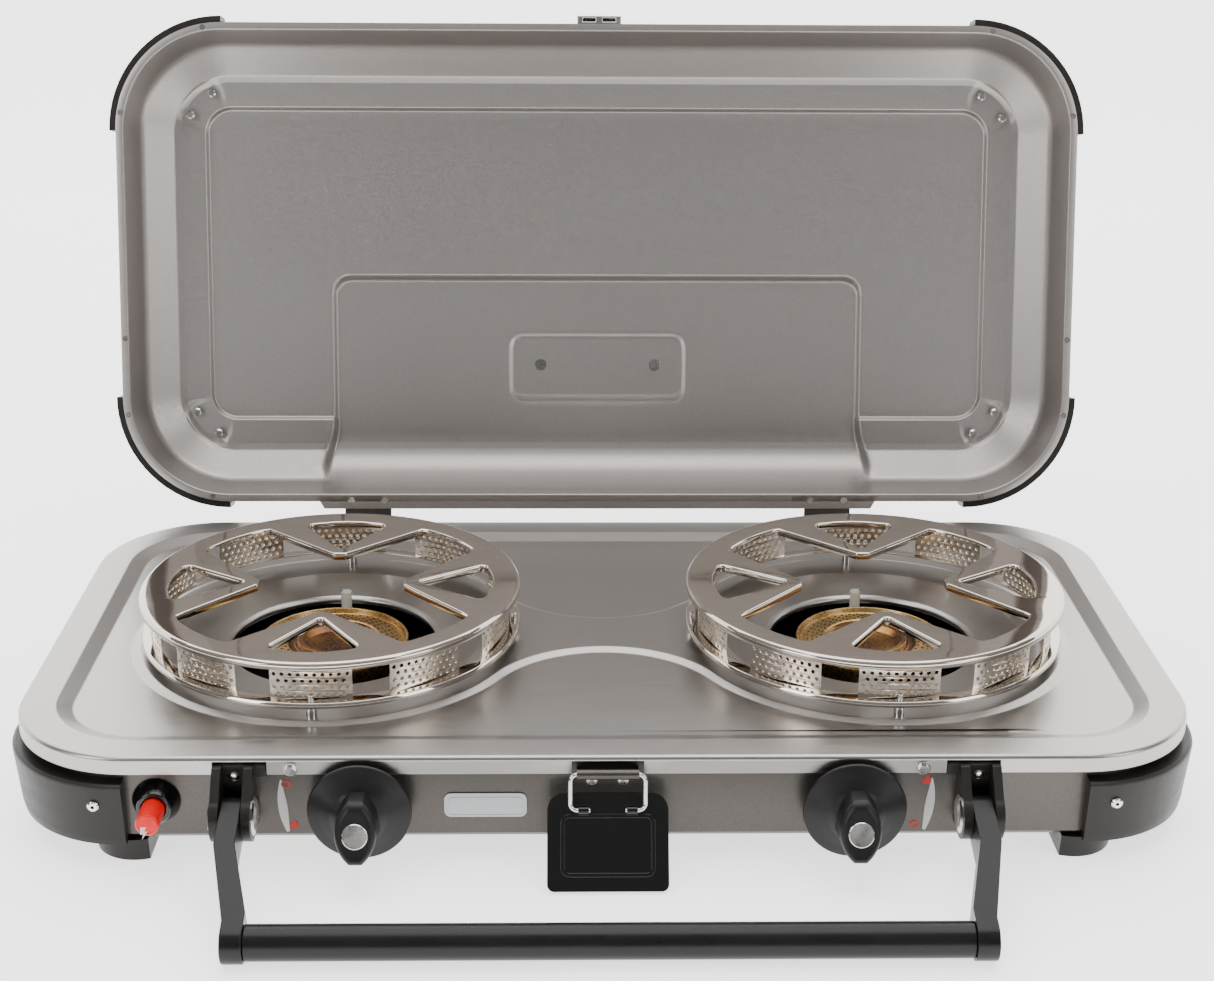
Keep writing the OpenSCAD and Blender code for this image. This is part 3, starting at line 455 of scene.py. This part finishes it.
class Sheet:
    """Collects the points and faces of one piece."""

    def __init__(self):
        self.verts, self.faces = [], []

    def add(self, verts, faces):
        self.faces += shifted(faces, len(self.verts))
        self.verts += verts

    def rows(self, rows, closed_rows=True):
        self.add([p for row in rows for p in row], cap_grid(rows, closed_rows))

    def flat(self, loops, z):
        """A level face with the first loop as its outline and the others as holes."""
        points = [[Vector((x, y, 0)) for x, y in loop] for loop in loops]
        self.add([(x, y, z) for loop in loops for x, y in loop], tessellate_polygon(points))


def at_burner(s):
    return s * BURNER_X, BURNER_Y


def circle(r, centre=(0, 0), n=96):
    return [(centre[0] + r * cos(2 * pi * k / n), centre[1] + r * sin(2 * pi * k / n))
            for k in range(n)]


def smooth(t):
    """Rises from 0 to 1 with no corners; t outside 0 to 1 is clipped."""
    t = max(0.0, min(1.0, t))
    return t * t * (3 - 2 * t)

# ------------------------------------------------------------------ cooktop

PLATEAU_R, WAIST_R = 119.0, 76.0
DISH_R = 97.0
WAIST_Y = math.sqrt((PLATEAU_R + WAIST_R) ** 2 - BURNER_X ** 2)


def waisted(offset):
    """The raised area's outline: two circles joined by hollow arcs, moved out by offset."""
    phi = math.atan2(WAIST_Y, -BURNER_X)
    out = []

    def arc(cx, cy, r, t0, t1, n):
        for k in range(n):
            t = t0 + (t1 - t0) * k / n
            out.append((cx + r * cos(t), cy + r * sin(t)))
    big, small = PLATEAU_R + offset, WAIST_R - offset
    arc(BURNER_X, BURNER_Y, big, -phi, phi, 96)
    arc(0, BURNER_Y + WAIST_Y, small, phi - pi, -phi, 40)
    arc(-BURNER_X, BURNER_Y, big, pi - phi, pi + phi, 96)
    arc(0, BURNER_Y - WAIST_Y, small, phi, pi - phi, 40)
    return out


def cooktop():
    floor_z, top_z, dish_z = RIM - 3.2, RIM - 1.2, RIM - 5.8
    sheet = Sheet()
    rim = rounded([(1.0, RIM - 10.5), (0, RIM - 10.5, 0.3), (0, RIM, 2.6), (21, RIM, 5),
                   (30.5, floor_z, 6), (36, floor_z)], fine=9)
    latch_half = 20  # half the width of the cut-out for the latch
    xs = [s * x for s in (-1, 1) for x in (latch_half, 60, 120, *CUTOUT, 240)]
    rows = sweep(rim, TOP_W, TOP_D, CORNER, (0, TOP_D / 2), corner=28, xs=xs, ys=[-60, 0, 60])
    sheet.rows(rows)
    sheet.flat([[(x, y) for x, y, z in rows[-1]], waisted(9)], floor_z)
    slope = rounded([(9, floor_z), (4.6, floor_z, 4), (-0.4, top_z, 4), (-4, top_z)], fine=7)
    sheet.rows([[(x, y, z) for x, y in waisted(i)] for i, z in slope])
    sheet.flat([waisted(-4)] + [circle(DISH_R, at_burner(s)) for s in (-1, 1)], top_z)
    dish = rounded([(DISH_R, top_z), (DISH_R - 3, top_z, 5), (66, dish_z + 0.2, 4),
                    (63.6, dish_z - 1.6, 1.5), (63.5, RIM - 10)], fine=10)
    for s in (-1, 1):
        sheet.add(*revolve(dish, (*at_burner(s), 0), 96))
    # the front skirt is left out at the latch and at the two bracket hoods
    kept = []
    for f in sheet.faces:
        pts = [sheet.verts[i] for i in f]
        x, y, z = (sum(p[k] for p in pts) / len(pts) for k in range(3))
        notch = abs(x) < latch_half or CUTOUT[0] < abs(x) < CUTOUT[1]
        if not (y < 1.2 and z < RIM - 2.5 and notch):
            kept.append(f)
    make("cooktop_pressing", sheet.verts, kept, "top", "base", ["cooktop"], crease=50, thick=0.9)


# ------------------------------------------------------------------ lid


def lid_matrix():
    back = Matrix.Translation((0, HINGE[0], HINGE[1]))
    return back @ Matrix.Rotation(radians(-LID_OPEN), 4, "X") @ back.inverted()


LID_POSE = lid_matrix()
# (inset, depth) from the lid's open edge inward
LID_PROFILE = rounded([(0, 0), (5.2, 0, 1.4), (6.4, 3.5, 2), (12.4, 25.4, 9), (33.6, 38.4, 5),
                       (38.2, 39.3, 4), (55.6, 40.4, 1.6), (57.8, 43.4, 1.6), (62, LID_FACE),
                       (CORNER, LID_FACE)], fine=8)


def dense(line, step):
    """A line with points added so that none lie much more than step apart."""
    out = [line[0]]
    for a, b in zip(line, line[1:]):
        n = max(1, int(hypot(b[0] - a[0], b[1] - a[1]) / step))
        out += [(a[0] + (b[0] - a[0]) * k / n, a[1] + (b[1] - a[1]) * k / n) for k in range(1, n + 1)]
    return out


def lid_depth(x, v, depth):
    """Depth of the lid's inner face: the plain dish, deepened by the pocket and the corner seats and
    raised at the seat of the handle plate.  Each gap is a distance outside a shape's outline."""
    ax = abs(x)
    # the pocket in the lower middle, which flares and runs out towards the hinge side
    half_width, top_v, corner, pocket_depth, curve_v = 193, 165.5, 12, 47.4, 54
    low = smooth((62 - v) / 40)
    side = half_width + 7 * math.sqrt(max(0, sin(pi * min(1, max(0, (58 - v) / 52))))) * low
    slope_width = 3.4 + 5 * low
    qx, qy = ax - (side - corner), v - (top_v - corner)
    if qx > 0 and qy > 0:
        gap = hypot(qx, qy) - corner
    else:
        gap = max(ax - side, v - top_v)
    inside = smooth(0.5 - gap / slope_width)
    t = min(1.0, max(0.0, (curve_v - v) / 42))
    bottom = pocket_depth * math.sqrt(max(0.0, 1 - t ** 2.3)) if v < curve_v else pocket_depth
    out = depth
    if bottom > depth:
        out = depth + (bottom - depth) * inside
    # the seat of the handle plate, a shallow rounded rectangle
    plate_half, plate_corner, plate_v, plate_rise = (54, 14), 10, 100, 1.3
    qx, qy = ax - plate_half[0], abs(v - plate_v) - plate_half[1]
    gap = (hypot(max(qx, 0), max(qy, 0)) + min(0, max(qx, qy))) - plate_corner
    out -= plate_rise * smooth(0.5 - gap / 2.2)
    # corner seats for the screws, wedges of a circle round the corner's centre
    seat_r, seat_depth, seat_angle, seat_span = 40.6, 40.4, 44, 37
    cx, cv = ax - CORNER_X, abs(v - V_MID) - 94.3
    rho, ang = hypot(cx, cv), math.degrees(math.atan2(cv, cx))
    if cx > -20 and cv > -20:
        span = min(1.0, max(-1.0, (ang - seat_angle) / seat_span))
        edge = seat_r * math.sqrt(max(0.0, 1 - abs(span) ** 7))
        seat = smooth(0.5 - (rho - edge) / 2.0)
        out += max(0.0, seat_depth - out) * seat
    return out


def lid_shell():
    """The lid's pressing, drawn shut and turned open.  Its stations crowd where lid_depth is steep."""
    xs = sorted({round(s * x, 2) for s in (-1, 1) for x in
                 [0, 12, 24, 36, 41, *range(44, 61, 2), 61.5, 63, 64.5, 66, 70, 80,
                  *range(95, 156, 15), 168, *range(176, 187, 2), 187.5, *range(189, 196), 196.5,
                  198, 200, 202, 205, 210, 218, 228, 240, 250, 258]})
    vs = [-90, -86, -82] + [v - V_MID for v in (
        74, 75, 76.5, 78, 80, 83, 86, 89, 93, 100, 107, 111, 114, 117, 120, 122, 123.5, 125, 127,
        135, 145, 150, *range(153, 162, 2), 162.5, 164, 165.5, 167, 168.5, 170, 173, 180, 195, 215,
        235, 250)] + [84, 88, 91]
    vs = sorted({round(v, 2) for v in vs if abs(v) < LID_D / 2 - CORNER})
    inner = []
    for inset, depth in dense(LID_PROFILE, 2.4):
        loop = rrect_loop(TOP_W - 2 * inset, LID_D - 2 * inset, max(CORNER - inset, 0),
                          (0, LID_MID), 26, xs, [-v for v in vs])
        flat_edge = inset <= 6
        inner.append([(x, y, LID_BASE + (depth if flat_edge else lid_depth(x, V_ZERO - y, depth)))
                      for x, y in loop])
    sheet = Sheet()
    sheet.rows(inner)
    gx = [-CORNER_X] + xs + [CORNER_X]
    gy = ([LID_MID - LID_D / 2 + CORNER] + sorted(LID_MID - v for v in vs)
          + [LID_MID + LID_D / 2 - CORNER])
    sheet.rows([[(x, y, LID_BASE + lid_depth(x, V_ZERO - y, LID_FACE)) for x in gx] for y in gy],
               closed_rows=False)
    # the flange at the hinge side
    flange = [(-203, -4), (-197.5, 5.3), (197.5, 5.3), (203, -4)]
    sheet.add([(x, LID_BACK + dy, LID_BASE) for x, dy in flange], [(0, 1, 2, 3)])
    shell = make("lid_pressing", sheet.verts, sheet.faces, "lid_out", "lid", ["lid_shell"],
                 crease=60, pose=LID_POSE, thick=-0.8)
    # the sheet's other face, which is the lid's inside, has the second material
    shell.data.materials.append(M["lid"])
    shell.modifiers["thickness"].material_offset = 1


# ------------------------------------------------------------------ grates and burners


def finger_frame(points, quarter):
    """Points turned by quarter turns, to the place of another finger."""
    t = quarter * pi / 2
    return [(x * cos(t) - y * sin(t), x * sin(t) + y * cos(t)) for x, y in points]


def grate_opening():
    """The plate's inner edge, anticlockwise, with how deep its rolled lip is at each point."""
    root = (86.5, 50.4)  # where a finger meets the rim
    a0 = math.atan2(root[1], root[0])
    a1, rim_r, n = pi / 2 - a0, 101.0, 14
    side = rounded([(root[0], -root[1]), (45.0, -4.0, 3), (45.0, 4.0, 3), root], fine=12)
    side = dense(side, 6)
    rim = [(rim_r * cos(a0 + (a1 - a0) * k / n), rim_r * sin(a0 + (a1 - a0) * k / n))
           for k in range(1, n)]
    points, lips = [], []
    for quarter in range(4):
        points += finger_frame(side + rim, quarter)
        lips += [1.0] * len(side) + [0.0] * len(rim)
    return points, lips


def finger_window(quarter):
    """The hole in a finger."""
    line = rounded([(52.6, 0, 2.5), (95.0, -27.6, 4), (99.6, -9), (100.2, 0), (99.6, 9),
                    (95.0, 27.6, 4)], closed=True, fine=14)
    return finger_frame(dense(line + line[:1], 5)[:-1], quarter)


def grate_plate(s, side):
    """The flat top of a grate, with four fingers that each have a window."""
    cx, cy = at_burner(s)
    top, flat_r, bend_r = GRATE_TOP, 112.6, 1.5
    sheet = Sheet()
    opening, lips = grate_opening()
    windows = [finger_window(q) for q in range(4)]
    sheet.flat([circle(flat_r, n=160)] + [offset_loop(w, bend_r) for w in [opening] + windows], top)
    # rolled lips round the fingers and their windows
    bend = [(bend_r, 0.0), (0.9, -0.12), (0.4, -0.5), (0.1, -1.1), (0.0, -1.8)]
    rows = [[(x, y, top + z) for x, y in offset_loop(opening, o)] for o, z in bend]
    rows.append([(x, y, top - 1.9 - 2.6 * lip) for (x, y), lip in zip(opening, lips)])
    sheet.rows(rows)
    for w in windows:
        sheet.rows([[(x, y, top + z) for x, y in offset_loop(w, o)]
                    for o, z in bend + [(0.0, -4.6)]])
    # the crowned outer edge
    rim = rounded([(flat_r, top), (115.4, top, 2), (116.9, top - 1.6, 1.2), (117.0, top - 4.5)],
                  fine=14)
    sheet.rows([[(x, y, z) for x, y in circle(r, n=160)] for r, z in rim])
    verts = [(x + cx, y + cy, z) for x, y, z in sheet.verts]
    make(f"grate_{side}_top", verts, sheet.faces, "grate", f"grate_{side}",
         [f"grate_{side}_plate"], crease=50, thick=1.0)


def grate_ring(s, side):
    """The rolled ring a grate stands on."""
    line = rounded([(108.6, 3.9), (107.8, 3.3, 0.4), (108.6, 2.7, 0.4), (113.6, 2.6, 1),
                    (115.2, 1.4, 0.8), (115.3, 0, 0.4), (116.8, 0, 0.5), (117.2, 1.8, 1.0),
                    (116.2, 3.6, 1.2), (112, 3.8, 1)], closed=True, fine=20)
    verts, faces = revolve(line, (*at_burner(s), RING_BASE), 160, closed=True)
    make(f"grate_{side}_base_ring", verts, faces, "grate", f"grate_{side}",
         [f"grate_{side}_ring"], crease=60)


def grate_screens(s, side):
    """Ten perforated panels bent round the ring, tucked under the plate."""
    cx, cy = at_burner(s)
    r, z0, z1, thick = SCREEN_R, RIM + 8.3, RIM + 32.4, 0.7
    half, tall = r * radians(12.3), z1 - z0
    pitch, hole = 4.7, 1.25
    n, m = 24, 6
    loops = [[(-half + 2 * half * k / n, z0) for k in range(n)]
             + [(half, z0 + tall * k / m) for k in range(m)]
             + [(half - 2 * half * k / n, z1) for k in range(n)]
             + [(-half, z1 - tall * k / m) for k in range(m)]]
    for row in range(5):
        v = z0 + 2.9 + row * pitch * 0.866
        for k in range(-5, 6):
            u = (k + 0.5 * (row % 2)) * pitch
            if abs(u) < half - 2.2:
                loops.append(circle(hole, (u, v), 12))
    flat, panels = Sheet(), Sheet()
    flat.flat(loops, 0)
    count = len(flat.verts)
    for k in range(10):
        middle = radians(k * 36 - 90)
        verts = [(cx + (r - d) * cos(middle + u / r), cy + (r - d) * sin(middle + u / r), v)
                 for d in (0, thick) for u, v, w in flat.verts]
        inward = [tuple(i + count for i in reversed(f)) for f in flat.faces]
        panels.add(verts, flat.faces + inward + walls(loops, 0, count))
    obj = make(f"grate_{side}_perforated", panels.verts, panels.faces, "screen", f"grate_{side}",
               [f"grate_{side}_screens"], crease=40, shading=False)
    # the panels bend as a cylinder, so their shading follows the cylinder and not the triangles
    mesh = obj.data
    middle = put((cx, cy, 0))
    normals = []
    for face in mesh.polygons:
        for i in face.vertices:
            out = mesh.vertices[i].co - middle
            out.z = 0
            out.normalize()
            lean = face.normal.dot(out)
            normals.append(out if lean > 0.7 else -out if lean < -0.7 else face.normal)
    mesh.normals_split_custom_set(normals)


def grate_studs():
    """The stepped pins that hold both grates in place."""
    pins = Sheet()
    line = rounded([(0, 12.2), (1.7, 12.2, 0.6), (1.7, 4.4), (3.4, 4.4, 0.8), (3.4, -1.4),
                    (0, -1.4)], fine=18)
    for s in (-1, 1):
        x, y = at_burner(s)
        for k in range(4):
            t = k * pi / 2
            pins.add(*revolve(line, (x + STUD_R * cos(t), y + STUD_R * sin(t), RIM), 32))
    make("grate_stud_pins", pins.verts, pins.faces, "hardware", "base", ["grate_studs"], crease=40)


def burner_head(s, side):
    """A low round head: a thin outer lip, rows of ports and a raised ring in the middle."""
    cx, cy = at_burner(s)
    z = RIM - 5
    outer, inner, drop = (40.6, z - 2.4), (29, z - 0.8), 1.6  # the slope that carries the ports
    line = rounded([(47.0, z - 12), (47.0, z - 1.8), (46.4, z, 0.5), (45.2, z, 0.5),
                    (44.0, z - 3.4, 1.0), (42.0, z - 3.6, 0.8), (*outer, 0.8), (*inner, 3),
                    (27.0, z - 3.0, 1.0), (24.4, z - 3.0, 1.0), (22.4, z + 0.0, 1.0),
                    (19.4, z + 0.1, 1.2), (15.4, z - 2.6, 2), (8, z - 3.6, 4), (0.001, z - 3.9)],
                   fine=12)
    verts, faces = revolve(dense(line, 2.5), (cx, cy, 0), 120)
    cap = make(f"burner_{side}_cap", verts, faces, "brass", "base", [f"burner_{side}_head"],
               crease=45)
    # the middle is burnt darker
    cap.data.materials.append(M["burnt"])
    burnt_r, middle = 0.0285, put((cx, cy, 0))
    for face in cap.data.polygons:
        if hypot(face.center.x - middle.x, face.center.y - middle.y) < burnt_r:
            face.material_index = 1
    # each port hole is drawn as a small dark stud that stands a hair above the slope; its dark colour is
    # painted shade standing in for the shade inside the hole
    ports, sides = Sheet(), 8
    for row, r in enumerate((30.6, 33.6, 36.6, 39.4)):
        count = 36 + 4 * row
        height = inner[1] - drop * (r - inner[0]) / (outer[0] - inner[0])
        for k in range(count):
            t = 2 * pi * (k + 0.5 * (row % 2)) / count
            x, y = cx + r * cos(t), cy + r * sin(t)
            rings = [[(x + q * cos(2 * pi * a / sides), y + q * sin(2 * pi * a / sides), height + h)
                      for a in range(sides)] for q, h in ((0.85, 0.1), (0.75, 0.28), (0.35, 0.28))]
            ports.rows(rings)
            ports.faces.append(tuple(range(len(ports.verts) - sides, len(ports.verts))))
    make(f"burner_{side}_ports", ports.verts, ports.faces, "port", "base", [], crease=45)


for s, side in SIDES:
    grate_plate(s, side)
    grate_ring(s, side)
    grate_screens(s, side)
    burner_head(s, side)
grate_studs()


# ------------------------------------------------------------------ small parts


def softened(name, node, body, width):
    """A copy of a CAD part with its hard edges rolled over by width, as on the real part."""
    edge_angle = radians(30)
    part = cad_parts[node]
    mesh = part.data.copy()
    mesh.name = name
    bm = bmesh.new()
    bm.from_mesh(mesh)
    bmesh.ops.remove_doubles(bm, verts=bm.verts, dist=MERGE)
    bmesh.ops.dissolve_limit(bm, angle_limit=radians(0.6), verts=bm.verts, edges=bm.edges)
    bm.to_mesh(mesh)
    bm.free()
    mesh.shade_smooth()
    obj = bpy.data.objects.new(name, mesh)
    obj.matrix_world = part.matrix_world.copy()
    bpy.context.scene.collection.objects.link(obj)
    mod = obj.modifiers.new("edges", "BEVEL")
    mod.width = width * 0.001
    mod.segments = 3
    mod.limit_method = "ANGLE"
    mod.angle_limit = edge_angle
    mod.use_clamp_overlap = True
    mesh.set_sharp_from_angle(angle=edge_angle)
    obj.modifiers.new("shading", "WEIGHTED_NORMAL").keep_sharp = False
    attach(obj, body)
    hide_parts(node)
    return obj


def clear_seats(obj):
    """Moves the corner guards' inner tongues outward, clear of the seats pressed into the lid."""
    tongue_r, tongue_z, lift = 66, LID_BASE + 26, 1.6
    shut = LID_POSE.inverted()
    for vert in obj.data.vertices:
        p = shut @ (Vector((vert.co.x * 1000, vert.co.y * 1000 + Y_MID, vert.co.z * 1000)))
        near = hypot(abs(p.x) - CORNER_X, abs(p.y - LID_MID) - LID_D / 2 + CORNER)
        if near < tongue_r and p.z > tongue_z:
            vert.co = put(LID_POSE @ Vector((p.x, p.y, p.z + lift)))


def hood(s, side):
    """The top of a handle bracket, which fills the notch in the cooktop's rim."""
    line = rounded([(WALL_Y, RIM - 14), (1.4, RIM - 13, 2), (0.4, RIM - 4.6, 1.6),
                    (WALL_Y, RIM - 3.2)], fine=12)
    block = Sheet()
    block.rows([[(s * x, y + (inset if y < WALL_Y - 0.1 else 0), z) for y, z in line]
                for x, inset in ((188.0, 1.2), (188.3, 0.4), (189.0, 0),
                                 (216.4, 0), (217.1, 0.4), (217.3, 1.2))])
    n, total = len(line), len(block.verts)
    block.faces += [tuple(range(n)), tuple(range(total - n, total))]
    make(f"bracket_hood_{side}", block.verts, block.faces, "black", "base", [], crease=45)


# body, how far the edges roll over, parts
SOFT = [
    ("base", 1.6, ["guard_front_left", "guard_front_right", "guard_back_left", "guard_back_right"]),
    ("base", 0.5, ["base_case", "handle_brackets", "hinge_base_leaves", "latch_bracket", "igniter_bezel",
                   "front_plate", "inlet_nut"]),
    ("lid", 0.5, ["lid_guards", "hinge_lid_leaves", "lid_catch", "lid_plate"]),
    ("handle", 0.9, ["handle_arm_left", "handle_arm_right", "handle_bar"]),
    ("latch_bail", 0.3, ["latch_bail"]),
    ("latch_plate", 0.6, ["latch_plate"]),
    ("igniter_button", 0.5, ["igniter_button"]),
]


def lens(w, l, cut):
    """Points round a leaf shape w wide and l long, blunted by cut at each end."""
    n = 24
    b, h = w / 2, l / 2
    r = (h * h + b * b) / (2 * b)
    top = h - cut
    out = []
    for k in range(n + 1):
        v = -top + 2 * top * k / n
        out.append((math.sqrt(r * r - v * v) - (r - b), v))
    return out + [(-u, v) for u, v in reversed(out)]


def knob(s, side):
    """A flared skirt with a leaf-shaped grip whose face leans forward at the bottom."""
    x0, y0, z0 = s * KNOB_X, -4.5, KNOB_Z
    line = rounded([(24.0, 0.4), (28.4, 0.2, 0.6), (29, 1.4, 0.6), (28.6, 2.8, 1), (22, 5.4, 6),
                    (16, 8.2, 6), (11.5, 11.4, 5), (0.001, 12)], fine=10)
    shape = Sheet()
    shape.add(*revolve(line, (x0, y0, z0), 96, axis="y"))
    tilt, edge_r, face_out = radians(18), 4.0, 26.6
    # (inset, how far below the face) down the grip's side, ending in its rounded edge
    steps = [(-1.6, -20), (0, -17), (0, -4.2)]
    for a in (12, 28, 44, 60, 76, 90):
        t = radians(a)
        steps.append((edge_r * (1 - cos(t)), edge_r * (sin(t) - 1)))
    rows = []
    for inset, drop in steps:
        rows.append([(x0 + u, y0 - ((face_out - v * sin(tilt)) / cos(tilt) + drop), z0 + v)
                     for u, v in lens(23 - 2 * inset, 37 - 2 * inset, 2.2)])
    shape.rows(rows)
    total = len(shape.verts)
    shape.faces.append(tuple(range(total - len(rows[0]), total)))
    make(f"knob_{side}_grip", shape.verts, shape.faces, "knob", f"knob_{side}", [f"knob_{side}"],
         crease=50)


def raised_print(name, loops, place, look, body="base", height=0.22):
    """A thin ink shape standing height proud of the face at place.  Its points are (across, up) from
    place; the first loop is its outline and the others are holes."""
    flat = Sheet()
    flat.flat(loops, 0)
    verts = [(place[0] + u, place[1] - d, place[2] + v)
             for d in (height, 0.0) for u, v, w in flat.verts]
    faces = flat.faces + walls(loops, 0, len(flat.verts))
    make(name, verts, faces, look, body, [], crease=30)


def crescent(s):
    """The curved mark beside a knob: narrow at its ends and widest in between."""
    r, n = 46.5, 24
    out, back = [], []
    for k in range(n + 1):
        t = radians(17 - 42 * k / n)
        wide = 0.5 + 4.6 * max(0.0, sin(pi * (0.04 + 0.86 * k / n))) ** 1.1
        out.append((s * (r * cos(t)), r * sin(t)))
        back.append((s * ((r - wide) * cos(t)), (r - wide) * sin(t)))
    return out + back[::-1]


def flame(cx, cz, h):
    """The outline of a small flame h high."""
    line = [(0.0, -0.5), (0.30, -0.42), (0.42, -0.18), (0.36, 0.06), (0.20, 0.24), (0.10, 0.5),
            (-0.04, 0.30), (-0.20, 0.12), (-0.36, -0.04), (-0.42, -0.24), (-0.28, -0.44)]
    return [(cx + u * h, cz + v * h) for u, v in line]


def marks():
    """Signs for more, less and the spark: a crescent, a ring and a flame by each knob, and a bolt."""
    for s, side in SIDES:
        raised_print(f"scale_crescent_{side}", [crescent(s)], (s * KNOB_X, WALL_Y, KNOB_Z), "mark")
    for (s, side), ring_at, flame_at in zip(SIDES, ((-41.4, 10.8), (35.9, -16.0)),
                                            ((-38.2, -14.5), (41.3, 12.8))):
        place = (s * KNOB_X, WALL_Y, KNOB_Z)
        ring = [circle(r, ring_at, 28) for r in (2.6, 1.5)]
        raised_print(f"scale_ring_{side}", ring, place, "mark_red")
        raised_print(f"scale_flame_{side}", [flame(*flame_at, 6.4)], place, "mark_red")
    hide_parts("scale_marks")
    bolt = [(-1.6, 3.6), (1.5, 3.6), (0.3, 0.9), (2.0, 0.9), (-1.2, -4.0), (-0.3, -0.7), (-2.0, -0.7)]
    raised_print("igniter_bolt", [bolt], (IGNITER_X, BUTTON_FACE_Y, IGNITER_Z), "mark",
                 "igniter_button", 0.2)


for body, width, names in SOFT:
    for node in names:
        part = softened(f"{node}_soft", node, body, width)
        if node == "lid_guards":
            clear_seats(part)
for s, side in SIDES:
    knob(s, side)
    hood(s, side)
marks()
cooktop()
lid_shell()

# ------------------------------------------------------------------ floor, light and camera


def stage_look():
    """Matt near-white that also glows, so that it stays pale under modest lamps."""
    n = Nodes("studio_white")
    shade = n.ramp(n.noise((1, 1, 1), 1.2, 2, 0.4), [(0.2, (0.83,) * 3), (0.8, (0.87,) * 3)])
    n.link(shade, n.bsdf.inputs["Base Color"])
    n.set(Roughness=0.85, Emission_Color=(1, 1, 1, 1), Emission_Strength=1.7)
    return n.mat


def floor():
    """A pale floor that curves up into a backdrop."""
    reach, back, high = 40000, 2600, 4200
    line = rounded([(-reach, 0), (back, 0, 900), (back, high)], fine=4)
    verts = [put((x, y, z)) for x in (-reach, reach) for y, z in line]
    n = len(line)
    mesh = bpy.data.meshes.new("studio_floor")
    mesh.from_pydata(verts, [], [(k, k + n, k + n + 1, k + 1) for k in range(n - 1)])
    mesh.materials.append(stage_look())
    mesh.shade_smooth()
    obj = bpy.data.objects.new("studio_floor", mesh)
    bpy.context.scene.collection.objects.link(obj)


def area_light(name, place, target, size, power):
    """A white rectangular lamp, in watts and metres."""
    data = bpy.data.lights.new(name, "AREA")
    data.shape = "RECTANGLE"
    data.size, data.size_y = size
    data.energy = power
    obj = bpy.data.objects.new(name, data)
    obj.location = place
    obj.rotation_euler = (Vector(target) - Vector(place)).to_track_quat("-Z", "Y").to_euler()
    bpy.context.scene.collection.objects.link(obj)


def studio():
    """A world that is pale overhead and dark at the horizon, and four lamps."""
    world = bpy.data.worlds.new("studio_world")
    world.use_nodes = True
    tree = world.node_tree
    place = tree.nodes.new("ShaderNodeTexCoord")
    split = tree.nodes.new("ShaderNodeSeparateXYZ")
    ramp = tree.nodes.new("ShaderNodeValToRGB")
    back = tree.nodes["Background"]
    stops = ((0.0, (0.10, 0.095, 0.09, 1)), (1.0, (0.9, 0.885, 0.86, 1)))
    for element, (at, tone) in zip(ramp.color_ramp.elements, stops):
        element.position, element.color = at, tone
    tree.links.new(place.outputs["Generated"], split.inputs[0])
    tree.links.new(split.outputs[2], ramp.inputs["Fac"])
    tree.links.new(ramp.outputs["Color"], back.inputs["Color"])
    back.inputs["Strength"].default_value = 0.6
    bpy.context.scene.world = world
    area_light("overhead", (0, -0.1, 2.4), (0, 0, 0), (2.4, 1.6), 46)
    area_light("front_left", (-2.0, -1.7, 1.5), (0, 0, 0.1), (0.9, 1.4), 26)
    area_light("front_right", (2.0, -1.5, 1.3), (0, 0, 0.1), (0.9, 1.4), 18)
    area_light("backdrop_glow", (0, 1.2, 2.6), (0, 2.6, 0.6), (5.0, 1.2), 60)


def camera():
    """The photo's viewpoint.  Angles are in radians; focal length and picture width in pixels."""
    yaw, pitch, roll, focal, width = 0.02205065, 0.36385015, -0.00794472, 1940.5865, 1214
    place = (-22.557, -945.108, 516.807 + RIM)
    data = bpy.data.cameras.new("camera")
    data.sensor_fit = "HORIZONTAL"
    data.sensor_width = 36
    data.lens = focal * data.sensor_width / width
    data.clip_start, data.clip_end = 0.02, 120
    obj = bpy.data.objects.new("camera", data)
    ahead = Vector((sin(yaw) * cos(pitch), cos(yaw) * cos(pitch), -sin(pitch)))
    right = Vector((cos(yaw), -sin(yaw), 0))
    down = ahead.cross(right)
    side = right * cos(roll) + down * sin(roll)
    low = down * cos(roll) - right * sin(roll)
    turn = Matrix((side, -low, -ahead)).transposed().to_4x4()
    obj.matrix_world = Matrix.Translation(put(place)) @ turn
    bpy.context.scene.collection.objects.link(obj)
    bpy.context.scene.camera = obj


floor()
studio()
camera()
bpy.context.view_layer.update()
